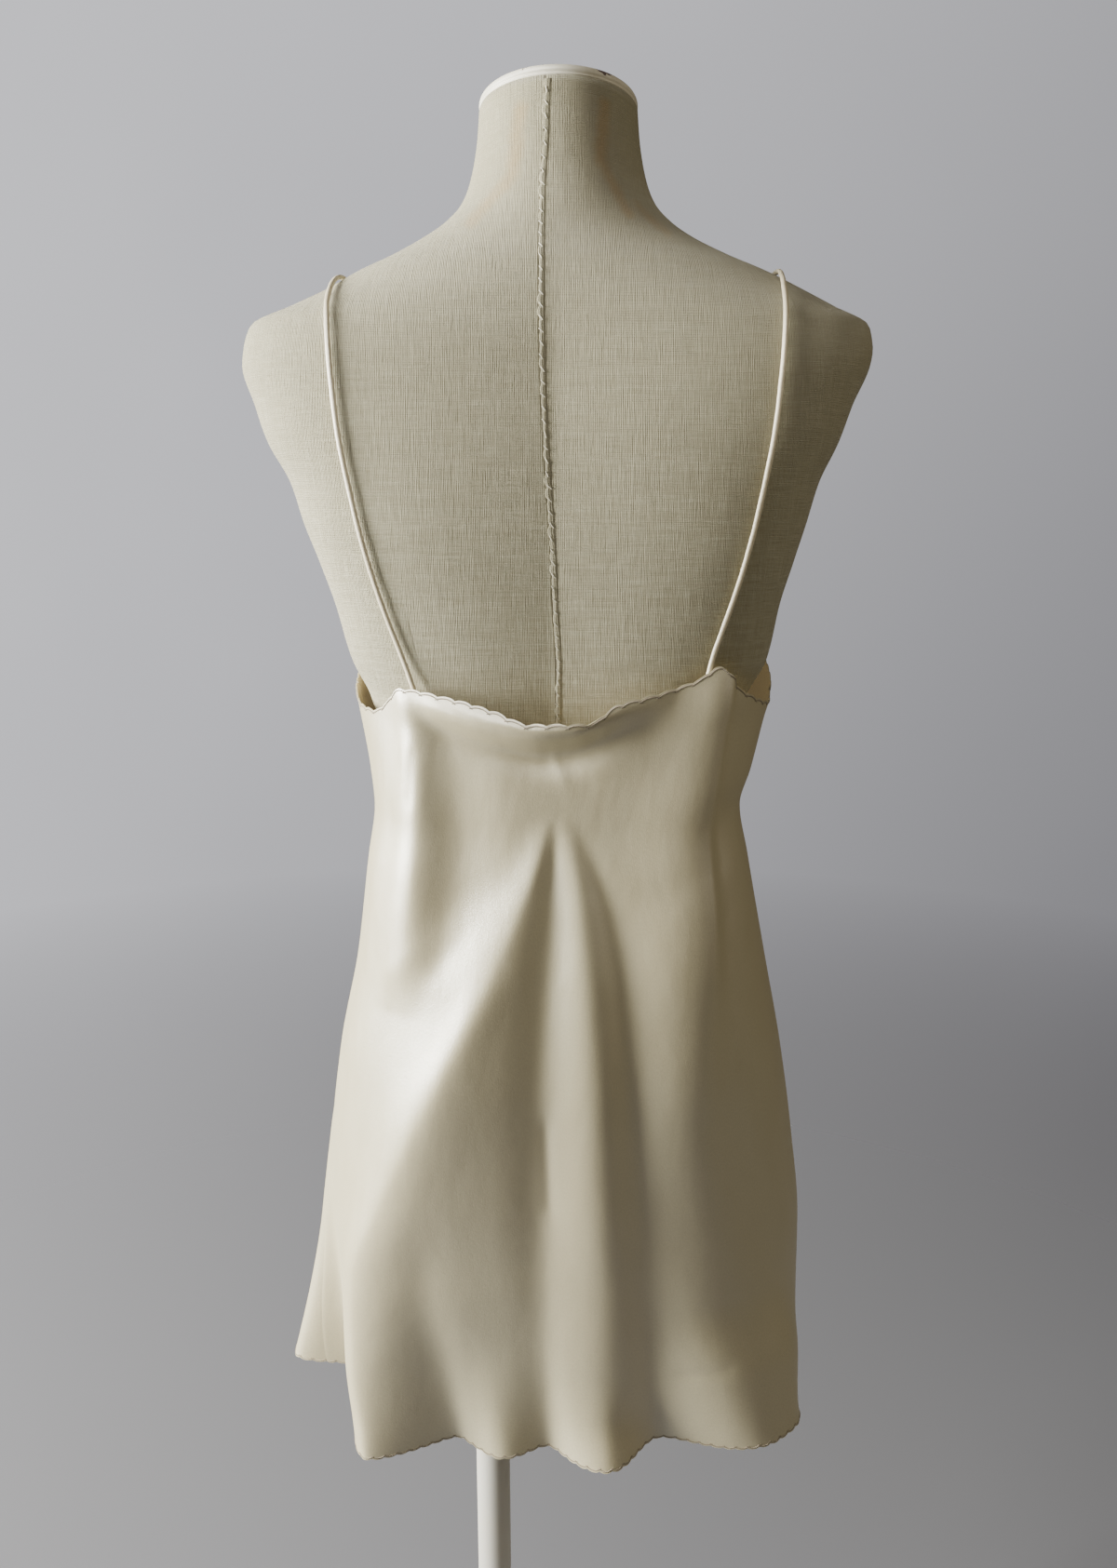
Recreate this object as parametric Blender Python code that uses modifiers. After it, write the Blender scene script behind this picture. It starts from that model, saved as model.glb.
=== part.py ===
"""A satin slip dress on a limbless dress form with a round stand.

Units are metres and +Z is up. The garment's front faces -Y and the wearer's left is at +X.
The origin is the centre of the base's underside, on the axis of the pole.
Angles round the body run from the wearer's left (0) through the back (90) to the right (180)
and through the front (270). The body stands a little to one side of its pole.
"""

import math
from collections import namedtuple

import bmesh
import bpy
import numpy as np
from mathutils import Matrix, Vector

# Driving sizes
BODY_X = -0.050
BASE_DIAMETER = 0.340
BASE_EDGE = 0.010
BASE_RISE = 0.016
HUB_DIAMETER = 0.056
HUB_TOP = 0.034
POLE_DIAMETER = 0.0254
FIT_GAP = 0.0003
CLOTH_WALL = 0.0012
CLOTH_TO_FORM = 0.0036
SEAM_GAP = 0.0004
STRAP_DIAMETER = 0.0036
STRAP_REST = 0.0009
SCALLOP_DEPTH = 0.0025
HEM_HEIGHT = 0.5525
CAP_DIAMETER = 0.0950
CAP_HEIGHT = 0.0068

# Mesh density
FORM_SIDES = 40
FORM_RING_COUNT = 34
PANEL_COLUMNS = 48
PANEL_ROWS = 18
ROW_CROWDING = 1.2
HEM_SCALLOPS = 64
BACK_NECK_SCALLOPS = 34
FRONT_NECK_SCALLOPS = 46
STEPS_PER_SCALLOP = 4
EDGE_BAND = 0.0045
ARC_SAMPLES = 720

FormRing = namedtuple("FormRing", "height left right front back centre squareness tilt")
FORM_RINGS = (
    FormRing(0.7000, 0.1200, 0.1200, 0.0800, 0.0790, 0.0, 2.2, 0.0),
    FormRing(0.7030, 0.1330, 0.1330, 0.0910, 0.0895, 0.0, 2.2, 0.0),
    FormRing(0.7120, 0.1385, 0.1385, 0.0965, 0.0950, 0.0, 2.2, 0.0),
    FormRing(0.7400, 0.1430, 0.1430, 0.1015, 0.1000, 0.0, 2.2, 0.0),
    FormRing(0.8000, 0.1440, 0.1440, 0.1050, 0.1055, 0.0, 2.2, 0.0),
    FormRing(0.8500, 0.1335, 0.1335, 0.1030, 0.1005, 0.0, 2.2, 0.0),
    FormRing(0.9000, 0.1220, 0.1220, 0.0985, 0.0920, 0.0, 2.2, 0.0),
    FormRing(0.9400, 0.1145, 0.1145, 0.0925, 0.0835, 0.0, 2.2, 0.0),
    FormRing(0.9800, 0.1120, 0.1120, 0.0890, 0.0785, 0.0, 2.4, 0.0),
    FormRing(1.0200, 0.1155, 0.1155, 0.0980, 0.0815, 0.0, 2.7, 0.0),
    FormRing(1.0450, 0.1185, 0.1185, 0.1090, 0.0855, 0.0, 3.0, 0.0),
    FormRing(1.0705, 0.1285, 0.1297, 0.1190, 0.0910, 0.0, 3.4, 0.0),
    FormRing(1.1065, 0.1365, 0.1354, 0.1260, 0.0975, 0.0, 3.8, 0.0),
    FormRing(1.1300, 0.1436, 0.1414, 0.1240, 0.1015, 0.0, 4.0, 0.0),
    FormRing(1.1520, 0.1515, 0.1476, 0.1160, 0.1040, 0.0, 4.0, 0.0),
    FormRing(1.1750, 0.1582, 0.1539, 0.1070, 0.1045, 0.0, 4.0, 0.0),
    FormRing(1.1970, 0.1703, 0.1642, 0.0990, 0.1030, 0.0, 4.0, 0.0),
    FormRing(1.2190, 0.1779, 0.1724, 0.0920, 0.0990, 0.0, 3.9, 0.0),
    FormRing(1.2410, 0.1850, 0.1825, 0.0860, 0.0930, 0.0, 3.7, 0.0),
    FormRing(1.2520, 0.1846, 0.1846, 0.0830, 0.0890, 0.0, 3.4, 0.0),
    FormRing(1.2630, 0.1820, 0.1835, 0.0795, 0.0840, 0.0, 3.1, 0.0),
    FormRing(1.2740, 0.1597, 0.1645, 0.0760, 0.0785, 0.0, 2.8, 0.0),
    FormRing(1.2845, 0.1392, 0.1465, 0.0730, 0.0730, -0.001, 2.5, 0.0),
    FormRing(1.2950, 0.1220, 0.1268, 0.0695, 0.0680, -0.003, 2.3, 0.0),
    FormRing(1.3045, 0.1030, 0.1055, 0.0655, 0.0635, -0.006, 2.15, 0.0),
    FormRing(1.3152, 0.0845, 0.0845, 0.0605, 0.0600, -0.010, 2.05, 0.0),
    FormRing(1.3250, 0.0700, 0.0700, 0.0570, 0.0580, -0.014, 2.0, 0.02),
    FormRing(1.3355, 0.0600, 0.0600, 0.0540, 0.0560, -0.018, 2.0, 0.05),
    FormRing(1.3460, 0.0550, 0.0550, 0.0520, 0.0535, -0.0205, 2.0, 0.08),
    FormRing(1.3600, 0.0512, 0.0512, 0.0500, 0.0510, -0.0215, 2.0, 0.11),
    FormRing(1.3750, 0.0488, 0.0488, 0.0482, 0.0488, -0.022, 2.0, 0.135),
    FormRing(1.3900, 0.0475, 0.0475, 0.0475, 0.0475, -0.022, 2.0, 0.14),
)

# Soft fullness at the chest, as (angle, height, rise, spread in degrees, spread in height)
ChestRise = namedtuple("ChestRise", "angle height rise spread tall")
CHEST_RISES = (
    ChestRise(304.0, 1.115, 0.011, 17.0, 0.045),
    ChestRise(236.0, 1.115, 0.011, 17.0, 0.045),
)

# The shallow hollow down the middle of the back
SPINE_DEPTH = 0.0045
SPINE_SPREAD = 0.050
SPINE_SIDEWAYS = 0.004
SPINE_TOP = 1.295
SPINE_FADE = 0.060

# The smooth garment at each height: half widths and depths from the body's middle
DressSection = namedtuple("DressSection", "height left right back front squareness")
DRESS_SECTIONS = (
    DressSection(0.540, 0.1510, 0.1570, 0.0980, 0.1120, 2.10),
    DressSection(0.550, 0.1520, 0.1575, 0.0985, 0.1120, 2.10),
    DressSection(0.610, 0.1590, 0.1712, 0.1015, 0.1120, 2.10),
    DressSection(0.670, 0.1610, 0.1700, 0.1045, 0.1125, 2.15),
    DressSection(0.740, 0.1565, 0.1615, 0.1075, 0.1130, 2.30),
    DressSection(0.810, 0.1465, 0.1495, 0.1095, 0.1135, 2.60),
    DressSection(0.880, 0.1310, 0.1345, 0.1050, 0.1130, 3.00),
    DressSection(0.945, 0.1215, 0.1212, 0.0975, 0.1130, 3.30),
    DressSection(0.980, 0.1165, 0.1150, 0.0940, 0.1150, 3.30),
    DressSection(1.003, 0.1185, 0.1215, 0.0940, 0.1190, 3.20),
    DressSection(1.035, 0.1240, 0.1295, 0.0955, 0.1270, 2.90),
    DressSection(1.057, 0.1285, 0.1360, 0.0980, 0.1325, 2.70),
    DressSection(1.080, 0.1360, 0.1385, 0.1010, 0.1345, 2.40),
    DressSection(1.110, 0.1460, 0.1460, 0.1040, 0.1340, 2.10),
    DressSection(1.140, 0.1550, 0.1550, 0.1060, 0.1280, 2.10),
    DressSection(1.180, 0.1690, 0.1690, 0.1090, 0.1130, 2.10),
)
DRESS_FRONT_SQUARENESS = 2.1
FORM_FRONT_SQUARENESS = 2.2

# Folds that run down the cloth: ridges (rise > 0) and troughs (rise < 0), each with its spread
# in degrees on the side of the smaller angles (before) and of the larger ones (after)
FoldStation = namedtuple("FoldStation", "height angle rise before after")
Fold = namedtuple("Fold", "name flatness stations")
FOLDS = (
    Fold("back_left_cone", 1.65, (
        FoldStation(0.985, 87.0, 0.000, 4.0, 4.0),
        FoldStation(0.955, 82.5, 0.0035, 7.0, 5.0),
        FoldStation(0.927, 77.5, 0.008, 11.0, 8.0),
        FoldStation(0.858, 65.0, 0.014, 15.0, 14.0),
        FoldStation(0.790, 53.0, 0.019, 16.0, 20.0),
        FoldStation(0.735, 44.0, 0.022, 15.5, 23.0),
        FoldStation(0.683, 37.5, 0.026, 14.0, 22.0),
        FoldStation(0.616, 37.0, 0.033, 13.5, 14.0),
        FoldStation(0.550, 40.0, 0.043, 14.2, 7.5),
    )),
    Fold("back_left_crest", 2.0, (
        FoldStation(0.900, 72.0, 0.000, 5.0, 5.0),
        FoldStation(0.858, 65.0, 0.002, 5.0, 5.0),
        FoldStation(0.790, 53.0, 0.003, 6.0, 6.0),
        FoldStation(0.735, 45.0, 0.004, 6.0, 7.0),
        FoldStation(0.683, 39.0, 0.005, 6.0, 8.0),
        FoldStation(0.630, 37.0, 0.004, 6.0, 8.0),
        FoldStation(0.575, 38.0, 0.000, 6.0, 8.0),
    )),
    Fold("back_centre_trough", 2.0, (
        FoldStation(0.985, 88.5, 0.000, 2.5, 2.5),
        FoldStation(0.955, 87.5, -0.0015, 3.5, 3.0),
        FoldStation(0.927, 86.5, -0.003, 5.0, 4.0),
        FoldStation(0.862, 85.0, -0.0045, 6.0, 5.5),
        FoldStation(0.740, 84.0, -0.0045, 8.0, 7.0),
        FoldStation(0.650, 84.0, -0.003, 9.0, 7.0),
        FoldStation(0.550, 87.0, -0.006, 7.0, 6.5),
    )),
    Fold("back_centre_cone", 2.0, (
        FoldStation(0.985, 92.0, 0.000, 3.0, 3.0),
        FoldStation(0.955, 95.5, 0.0025, 4.5, 4.5),
        FoldStation(0.927, 97.5, 0.0055, 6.0, 5.5),
        FoldStation(0.862, 99.5, 0.009, 9.0, 7.0),
        FoldStation(0.740, 102.5, 0.009, 11.0, 8.5),
        FoldStation(0.670, 105.0, 0.0068, 10.5, 10.0),
        FoldStation(0.610, 105.5, 0.0065, 11.5, 10.5),
        FoldStation(0.580, 105.0, 0.0105, 12.0, 10.5),
        FoldStation(0.550, 105.5, 0.0250, 11.5, 12.0),
    )),
    Fold("back_right_trough", 2.0, (
        FoldStation(0.973, 99.0, 0.000, 3.0, 3.0),
        FoldStation(0.927, 107.0, -0.003, 5.0, 5.0),
        FoldStation(0.860, 112.0, -0.0042, 6.0, 6.5),
        FoldStation(0.800, 114.0, -0.0042, 7.0, 8.0),
        FoldStation(0.700, 121.0, -0.0035, 9.0, 10.0),
        FoldStation(0.600, 127.0, -0.004, 8.0, 8.0),
        FoldStation(0.550, 130.0, -0.006, 8.0, 8.0),
    )),
    Fold("back_right_flute", 3.0, (
        FoldStation(0.950, 137.0, 0.000, 9.0, 9.0),
        FoldStation(0.920, 130.0, 0.002, 12.0, 8.0),
        FoldStation(0.850, 126.0, 0.004, 14.0, 9.0),
        FoldStation(0.790, 126.0, 0.005, 14.0, 11.0),
        FoldStation(0.720, 131.0, 0.004, 17.0, 14.0),
        FoldStation(0.654, 141.0, 0.006, 18.0, 16.0),
        FoldStation(0.600, 149.0, 0.0215, 15.5, 17.0),
        FoldStation(0.550, 151.5, 0.040, 13.0, 12.0),
    )),
    Fold("right_strap_ridge", 2.0, (
        FoldStation(1.090, 140.0, 0.003, 5.0, 3.0),
        FoldStation(1.065, 138.5, 0.007, 9.0, 3.0),
        FoldStation(1.040, 137.0, 0.009, 13.0, 3.2),
        FoldStation(0.994, 135.0, 0.009, 16.0, 3.8),
        FoldStation(0.964, 134.0, 0.008, 16.0, 4.2),
        FoldStation(0.900, 132.5, 0.007, 16.0, 5.0),
        FoldStation(0.840, 131.0, 0.003, 14.0, 7.0),
        FoldStation(0.790, 130.0, 0.000, 12.0, 9.0),
    )),
    Fold("left_strap_ridge", 2.0, (
        FoldStation(1.062, 42.0, 0.002, 4.0, 4.0),
        FoldStation(1.024, 46.5, 0.006, 6.0, 4.0),
        FoldStation(0.965, 46.5, 0.007, 8.0, 5.0),
        FoldStation(0.908, 45.5, 0.005, 8.0, 6.0),
        FoldStation(0.860, 42.0, 0.000, 7.0, 7.0),
    )),
    Fold("left_strap_trough", 2.0, (
        FoldStation(1.045, 51.0, 0.000, 4.0, 4.0),
        FoldStation(1.012, 57.5, -0.0025, 4.0, 7.0),
        FoldStation(0.955, 58.0, -0.004, 5.0, 9.0),
        FoldStation(0.913, 55.5, -0.0035, 5.0, 7.0),
        FoldStation(0.885, 53.0, 0.000, 4.0, 4.0),
    )),
    Fold("back_small_flute", 2.0, (
        FoldStation(0.660, 64.0, 0.000, 6.0, 6.0),
        FoldStation(0.620, 66.0, 0.0012, 7.0, 7.0),
        FoldStation(0.585, 67.5, 0.0055, 7.5, 7.5),
        FoldStation(0.550, 70.5, 0.0130, 8.0, 8.0),
    )),
    Fold("back_left_trough", 2.0, (
        FoldStation(0.740, 55.0, 0.000, 4.0, 4.0),
        FoldStation(0.686, 51.0, -0.002, 5.0, 5.0),
        FoldStation(0.620, 50.0, -0.006, 5.0, 6.0),
        FoldStation(0.550, 51.5, -0.007, 5.0, 5.0),
    )),
    Fold("left_side_flute", 3.6, (
        FoldStation(0.760, 4.0, 0.000, 8.0, 6.0),
        FoldStation(0.680, 3.0, 0.006, 8.0, 5.5),
        FoldStation(0.610, 2.5, 0.021, 8.0, 4.8),
        FoldStation(0.550, 2.0, 0.043, 8.0, 4.0),
    )),
    Fold("left_side_trough", 2.0, (
        FoldStation(0.740, 16.0, 0.000, 8.0, 8.0),
        FoldStation(0.640, 13.0, -0.004, 7.0, 7.0),
        FoldStation(0.550, 12.0, -0.008, 6.5, 6.5),
    )),
    Fold("front_right_side_flute", 3.0, (
        FoldStation(0.800, 206.0, 0.000, 10.0, 10.0),
        FoldStation(0.670, 205.0, 0.014, 10.0, 10.0),
        FoldStation(0.550, 203.0, 0.034, 10.0, 10.0),
    )),
    Fold("front_right_flute", 2.6, (
        FoldStation(0.950, 240.0, 0.000, 8.0, 8.0),
        FoldStation(0.780, 234.0, 0.008, 9.0, 9.0),
        FoldStation(0.550, 231.0, 0.027, 9.0, 9.0),
    )),
    Fold("front_centre_right_flute", 2.4, (
        FoldStation(0.900, 262.0, 0.000, 7.0, 7.0),
        FoldStation(0.720, 258.0, 0.007, 8.0, 8.0),
        FoldStation(0.550, 257.0, 0.020, 8.0, 8.0),
    )),
    Fold("front_centre_left_flute", 2.6, (
        FoldStation(0.960, 280.0, 0.000, 7.0, 7.0),
        FoldStation(0.760, 284.0, 0.009, 9.0, 9.0),
        FoldStation(0.550, 287.0, 0.026, 10.0, 10.0),
    )),
    Fold("front_left_flute", 3.0, (
        FoldStation(0.930, 308.0, 0.000, 8.0, 8.0),
        FoldStation(0.740, 314.0, 0.010, 9.0, 9.0),
        FoldStation(0.550, 317.0, 0.032, 10.0, 10.0),
    )),
    Fold("front_right_strap_ridge", 2.0, (
        FoldStation(1.160, 236.0, 0.003, 6.0, 6.0),
        FoldStation(1.060, 236.0, 0.004, 9.0, 9.0),
        FoldStation(0.960, 238.0, 0.005, 9.0, 9.0),
        FoldStation(0.880, 240.0, 0.000, 9.0, 9.0),
    )),
    Fold("front_left_strap_ridge", 2.0, (
        FoldStation(1.160, 304.0, 0.003, 6.0, 6.0),
        FoldStation(1.060, 304.0, 0.004, 9.0, 9.0),
        FoldStation(0.970, 303.0, 0.005, 9.0, 9.0),
        FoldStation(0.900, 301.0, 0.000, 9.0, 9.0),
    )),
)

# The roll that hangs under the back neckline, from strap to strap
CowlStation = namedtuple("CowlStation", "angle height rise")
COWL = (
    CowlStation(41.0, 1.0560, 0.0000),
    CowlStation(57.0, 1.0490, 0.0080),
    CowlStation(74.0, 1.0405, 0.0140),
    CowlStation(90.0, 1.0360, 0.0155),
    CowlStation(102.0, 1.0385, 0.0145),
    CowlStation(114.0, 1.0460, 0.0095),
    CowlStation(125.0, 1.0560, 0.0035),
    CowlStation(133.0, 1.0650, 0.0000),
)
COWL_SPREAD = 0.0085
COWL_HOLLOW_DROP = 0.0180
COWL_HOLLOW_SHARE = -0.35

# The neckline's height round the body, before its scallops
NeckPoint = namedtuple("NeckPoint", "angle height")
BACK_NECK = (
    NeckPoint(4.0, 1.0540),
    NeckPoint(9.0, 1.0515),
    NeckPoint(20.0, 1.0445),
    NeckPoint(31.0, 1.0430),
    NeckPoint(36.0, 1.0480),
    NeckPoint(43.5, 1.0585),
    NeckPoint(56.0, 1.0550),
    NeckPoint(70.0, 1.0480),
    NeckPoint(82.0, 1.0412),
    NeckPoint(99.0, 1.0420),
    NeckPoint(108.0, 1.0515),
    NeckPoint(122.0, 1.0580),
    NeckPoint(131.0, 1.0645),
    NeckPoint(136.0, 1.0715),
    NeckPoint(140.0, 1.0640),
    NeckPoint(147.0, 1.0540),
    NeckPoint(160.0, 1.0455),
    NeckPoint(169.0, 1.0445),
    NeckPoint(176.0, 1.0520),
)
FRONT_NECK = (
    NeckPoint(169.0, 1.0445),
    NeckPoint(176.0, 1.0520),
    NeckPoint(190.0, 1.0660),
    NeckPoint(210.0, 1.1020),
    NeckPoint(224.0, 1.1400),
    NeckPoint(236.0, 1.1630),
    NeckPoint(250.0, 1.1420),
    NeckPoint(270.0, 1.1280),
    NeckPoint(290.0, 1.1420),
    NeckPoint(304.0, 1.1630),
    NeckPoint(316.0, 1.1400),
    NeckPoint(330.0, 1.1020),
    NeckPoint(350.0, 1.0640),
    NeckPoint(364.0, 1.0540),
    NeckPoint(369.0, 1.0515),
)

# Where the side seams run
SeamPoint = namedtuple("SeamPoint", "height left right")
SEAMS = (
    SeamPoint(0.540, 5.5, 176.0),
    SeamPoint(0.680, 6.5, 174.0),
    SeamPoint(0.775, 6.0, 168.0),
    SeamPoint(0.860, 6.0, 169.0),
    SeamPoint(0.980, 6.5, 171.0),
    SeamPoint(1.070, 7.0, 174.0),
)

# The neckline's height at each side seam
SIDE_TOP_LEFT = 1.0525
SIDE_TOP_RIGHT = 1.0490

# Each strap's run, as its distance from the body's middle at each height
StrapPoint = namedtuple("StrapPoint", "height sideways")
STRAP_BACK = (
    StrapPoint(1.0560, 0.0785),
    StrapPoint(1.0660, 0.0828),
    StrapPoint(1.0811, 0.0896),
    StrapPoint(1.1060, 0.0980),
    StrapPoint(1.1300, 0.1043),
    StrapPoint(1.1554, 0.1101),
    StrapPoint(1.1835, 0.1154),
    StrapPoint(1.2075, 0.1194),
    StrapPoint(1.2350, 0.1223),
    StrapPoint(1.2623, 0.1252),
    StrapPoint(1.2800, 0.1268),
    StrapPoint(1.2880, 0.1276),
    StrapPoint(1.2930, 0.1258),
)
STRAP_FRONT = (
    StrapPoint(1.1570, 0.0790),
    StrapPoint(1.2000, 0.0980),
    StrapPoint(1.2400, 0.1130),
    StrapPoint(1.2700, 0.1210),
    StrapPoint(1.2860, 0.1248),
    StrapPoint(1.2930, 0.1258),
)
# Where a strap's end lies between the cloth and the form, and lifts the cloth's edge
StrapEnd = namedtuple("StrapEnd", "angle height")
STRAP_ENDS = (
    StrapEnd(45.5, 1.0590),
    StrapEnd(134.5, 1.0610),
    StrapEnd(236.0, 1.1590),
    StrapEnd(304.0, 1.1590),
)
STRAP_END_ROOM = 0.0036
STRAP_END_SPREAD = 7.0
STRAP_END_TALL = 0.022
STRAP_BACK_LIFT_OFF = 0.065
STRAP_FRONT_LIFT_OFF = 0.045
STRAP_POINTS_PER_SIDE = 24
STRAP_REACH = {1: 1.0, -1: 0.98}
STRAP_SMOOTHINGS = 3
FORM_SAMPLE_SIDES = 240
FORM_SAMPLE_RINGS = 300

Finish = namedtuple("Finish", "colour roughness metallic")
SATIN = Finish((0.83, 0.78, 0.68, 1.0), 0.38, 0.0)
LINEN = Finish((0.62, 0.58, 0.47, 1.0), 0.90, 0.0)
CREAM_PAINT = Finish((0.72, 0.68, 0.58, 1.0), 0.45, 0.0)


def smooth_curve(knots, values):
    """A curve through the points that never overshoots them, and stays flat past its ends."""
    knots = np.asarray(knots, float)
    values = np.asarray(values, float)
    steps = np.diff(knots)
    slopes = np.diff(values) / steps
    tangents = np.zeros(len(knots))
    same_way = slopes[:-1] * slopes[1:] > 0
    before = 2 * steps[1:] + steps[:-1]
    after = steps[1:] + 2 * steps[:-1]
    safe_low = np.where(same_way, slopes[:-1], 1.0)
    safe_high = np.where(same_way, slopes[1:], 1.0)
    blended = (before + after) / (before / safe_low + after / safe_high)
    tangents[1:-1] = np.where(same_way, blended, 0.0)
    tangents[0] = slopes[0]
    tangents[-1] = slopes[-1]

    def at(where):
        where = np.clip(np.asarray(where, float), knots[0], knots[-1])
        i = np.clip(np.searchsorted(knots, where, side="right") - 1, 0, len(steps) - 1)
        t = (where - knots[i]) / steps[i]
        rise = values[i] * (2 * t**3 - 3 * t**2 + 1) + values[i + 1] * (3 * t**2 - 2 * t**3)
        bend = tangents[i] * (t**3 - 2 * t**2 + t) + tangents[i + 1] * (t**3 - t**2)
        return rise + bend * steps[i]

    return at


def column(rows, key, name):
    """One named column of a table as a smooth curve over another column."""
    ordered = sorted(rows, key=lambda row: getattr(row, key))
    return smooth_curve([getattr(r, key) for r in ordered], [getattr(r, name) for r in ordered])


FORM = {name: column(FORM_RINGS, "height", name) for name in FormRing._fields[1:]}
DRESS = {name: column(DRESS_SECTIONS, "height", name) for name in DressSection._fields[1:]}
FOLD_COLUMNS = [
    (fold, {name: column(fold.stations, "height", name) for name in FoldStation._fields[1:]})
    for fold in FOLDS
]
COWL_HEIGHT = column(COWL, "angle", "height")
COWL_RISE = column(COWL, "angle", "rise")
SEAM_LEFT = column(SEAMS, "height", "left")
SEAM_RIGHT = column(SEAMS, "height", "right")


def angle_apart(angle, middle):
    """The signed difference of two angles, from -180 to 180 degrees."""
    return (angle - middle + 180.0) % 360.0 - 180.0


def oval_radius(angle, left, right, back, front, squareness):
    """The distance from the middle to a squared oval with its own depth on each side."""
    c = np.cos(np.radians(angle))
    s = np.sin(np.radians(angle))
    wide = np.where(c > 0, left, right)
    deep = np.where(s > 0, back, front)
    power = (np.abs(c) / wide) ** squareness + (np.abs(s) / deep) ** squareness
    return power ** (-1.0 / squareness)


def squareness_behind(angle, behind, before):
    """The squareness at each angle, with one value for the back and one for the front."""
    return np.where(np.sin(np.radians(angle)) > 0, behind, before)


def form_radius(angle, height):
    """The dress form's distance from its own middle line."""
    sides = (FORM[name](height) for name in ("left", "right", "back", "front"))
    squareness = squareness_behind(angle, FORM["squareness"](height), FORM_FRONT_SQUARENESS)
    radius = oval_radius(angle, *sides, squareness)
    for rise in CHEST_RISES:
        across = angle_apart(angle, rise.angle) / rise.spread
        along = (height - rise.height) / rise.tall
        radius = radius + rise.rise * np.exp(-(across**2) - along**2)
    from_spine = np.abs(radius * np.cos(np.radians(angle)) - SPINE_SIDEWAYS) / SPINE_SPREAD
    behind = np.maximum(np.sin(np.radians(angle)), 0.0)
    share = np.clip((SPINE_TOP - height) / SPINE_FADE, 0.0, 1.0)
    return radius - SPINE_DEPTH * share * behind * np.exp(-from_spine)


def form_point(angle, height):
    """A point of the form's surface, in the body's own frame."""
    radius = form_radius(angle, height)
    x = radius * np.cos(np.radians(angle))
    y = radius * np.sin(np.radians(angle))
    return np.stack([x, y + FORM["centre"](height), height + FORM["tilt"](height) * y], axis=-1)


def fold_rise(angle, height):
    """How far the folds push the cloth out at a place on it."""
    total = np.zeros(np.broadcast(angle, height).shape)
    for fold, columns in FOLD_COLUMNS:
        apart = angle_apart(angle, columns["angle"](height))
        spread = np.where(apart < 0, columns["before"](height), columns["after"](height))
        across = np.abs(apart) / spread
        total = total + columns["rise"](height) * np.exp(-(across**fold.flatness))
    return total


def cowl_rise(angle, height):
    """The roll under the back neckline and the hollow below it."""
    below = height - COWL_HEIGHT(angle)
    roll = np.exp(-((below / COWL_SPREAD) ** 2))
    hollow = np.exp(-(((below + COWL_HOLLOW_DROP) / COWL_SPREAD) ** 2))
    return COWL_RISE(angle) * (roll + COWL_HOLLOW_SHARE * hollow)


def dress_radius(angle, height):
    """The inner face of the cloth, always clear of the form."""
    sides = (DRESS[name](height) for name in ("left", "right", "back", "front"))
    squareness = squareness_behind(angle, DRESS["squareness"](height), DRESS_FRONT_SQUARENESS)
    radius = oval_radius(angle, *sides, squareness)
    radius = radius + fold_rise(angle, height) + cowl_rise(angle % 360.0, height)
    clearance = CLOTH_TO_FORM
    for end in STRAP_ENDS:
        across = angle_apart(angle, end.angle) / STRAP_END_SPREAD
        along = (height - end.height) / STRAP_END_TALL
        clearance = clearance + STRAP_END_ROOM * np.exp(-(across**4) - along**4)
    return np.maximum(radius, form_radius(angle, height) + clearance)


def dress_point(angle, height):
    """A point of the cloth's inner face, in the body's own frame."""
    radius = dress_radius(angle, height)
    x = radius * np.cos(np.radians(angle))
    y = radius * np.sin(np.radians(angle))
    return np.stack([x, y, height + 0.0 * x], axis=-1)


def even_angles(height, start, end, fractions):
    """The angles that share a level line of the cloth into the given fractions of its length."""
    angles = np.linspace(start, end, ARC_SAMPLES)
    points = dress_point(angles, np.full(ARC_SAMPLES, height))
    steps = np.linalg.norm(np.diff(points, axis=0), axis=1)
    along = np.concatenate([[0.0], np.cumsum(steps)])
    return np.interp(fractions * along[-1], along, angles)


def seam_angles(heights, is_back):
    """Where a panel starts and ends, a little short of each seam, for a height at each end."""
    left_at, right_at = heights if is_back else reversed(heights)
    left = float(SEAM_LEFT(left_at))
    right = float(SEAM_RIGHT(right_at))
    ends = np.array([left, right] if is_back else [right, left + 360.0])
    edge = np.degrees(0.5 * SEAM_GAP / dress_radius(ends, np.array(heights)))
    return ends[0] + edge[0], ends[1] - edge[1]


def new_object(name, mesh, finish, collection):
    """Links a mesh as a named part with its own material."""
    part = bpy.data.objects.new(name, mesh)
    collection.objects.link(part)
    paint(part, finish)
    return part


def paint(part, finish):
    """Gives a part its own Principled material."""
    material = bpy.data.materials.new(part.name + "_finish")
    material.use_nodes = True
    shader = material.node_tree.nodes["Principled BSDF"]
    shader.inputs["Base Color"].default_value = finish.colour
    shader.inputs["Roughness"].default_value = finish.roughness
    shader.inputs["Metallic"].default_value = finish.metallic
    part.data.materials.append(material)


def zip_rows(shape, low, high):
    """Fills the strip between two rows of (fraction, vertex) with triangles that face out."""
    i = 0
    j = 0
    while i < len(low) - 1 or j < len(high) - 1:
        step_low = j == len(high) - 1
        if i < len(low) - 1 and not step_low:
            step_low = low[i + 1][0] <= high[j + 1][0] + 1e-9
        if step_low:
            shape.faces.new((low[i][1], low[i + 1][1], high[j][1]))
            i += 1
        else:
            shape.faces.new((low[i][1], high[j + 1][1], high[j][1]))
            j += 1


def scallop_fractions(count):
    """The fractions of a panel's width where its scalloped edge has a point."""
    return np.linspace(0.0, 1.0, count * STEPS_PER_SCALLOP + 1)


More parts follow.
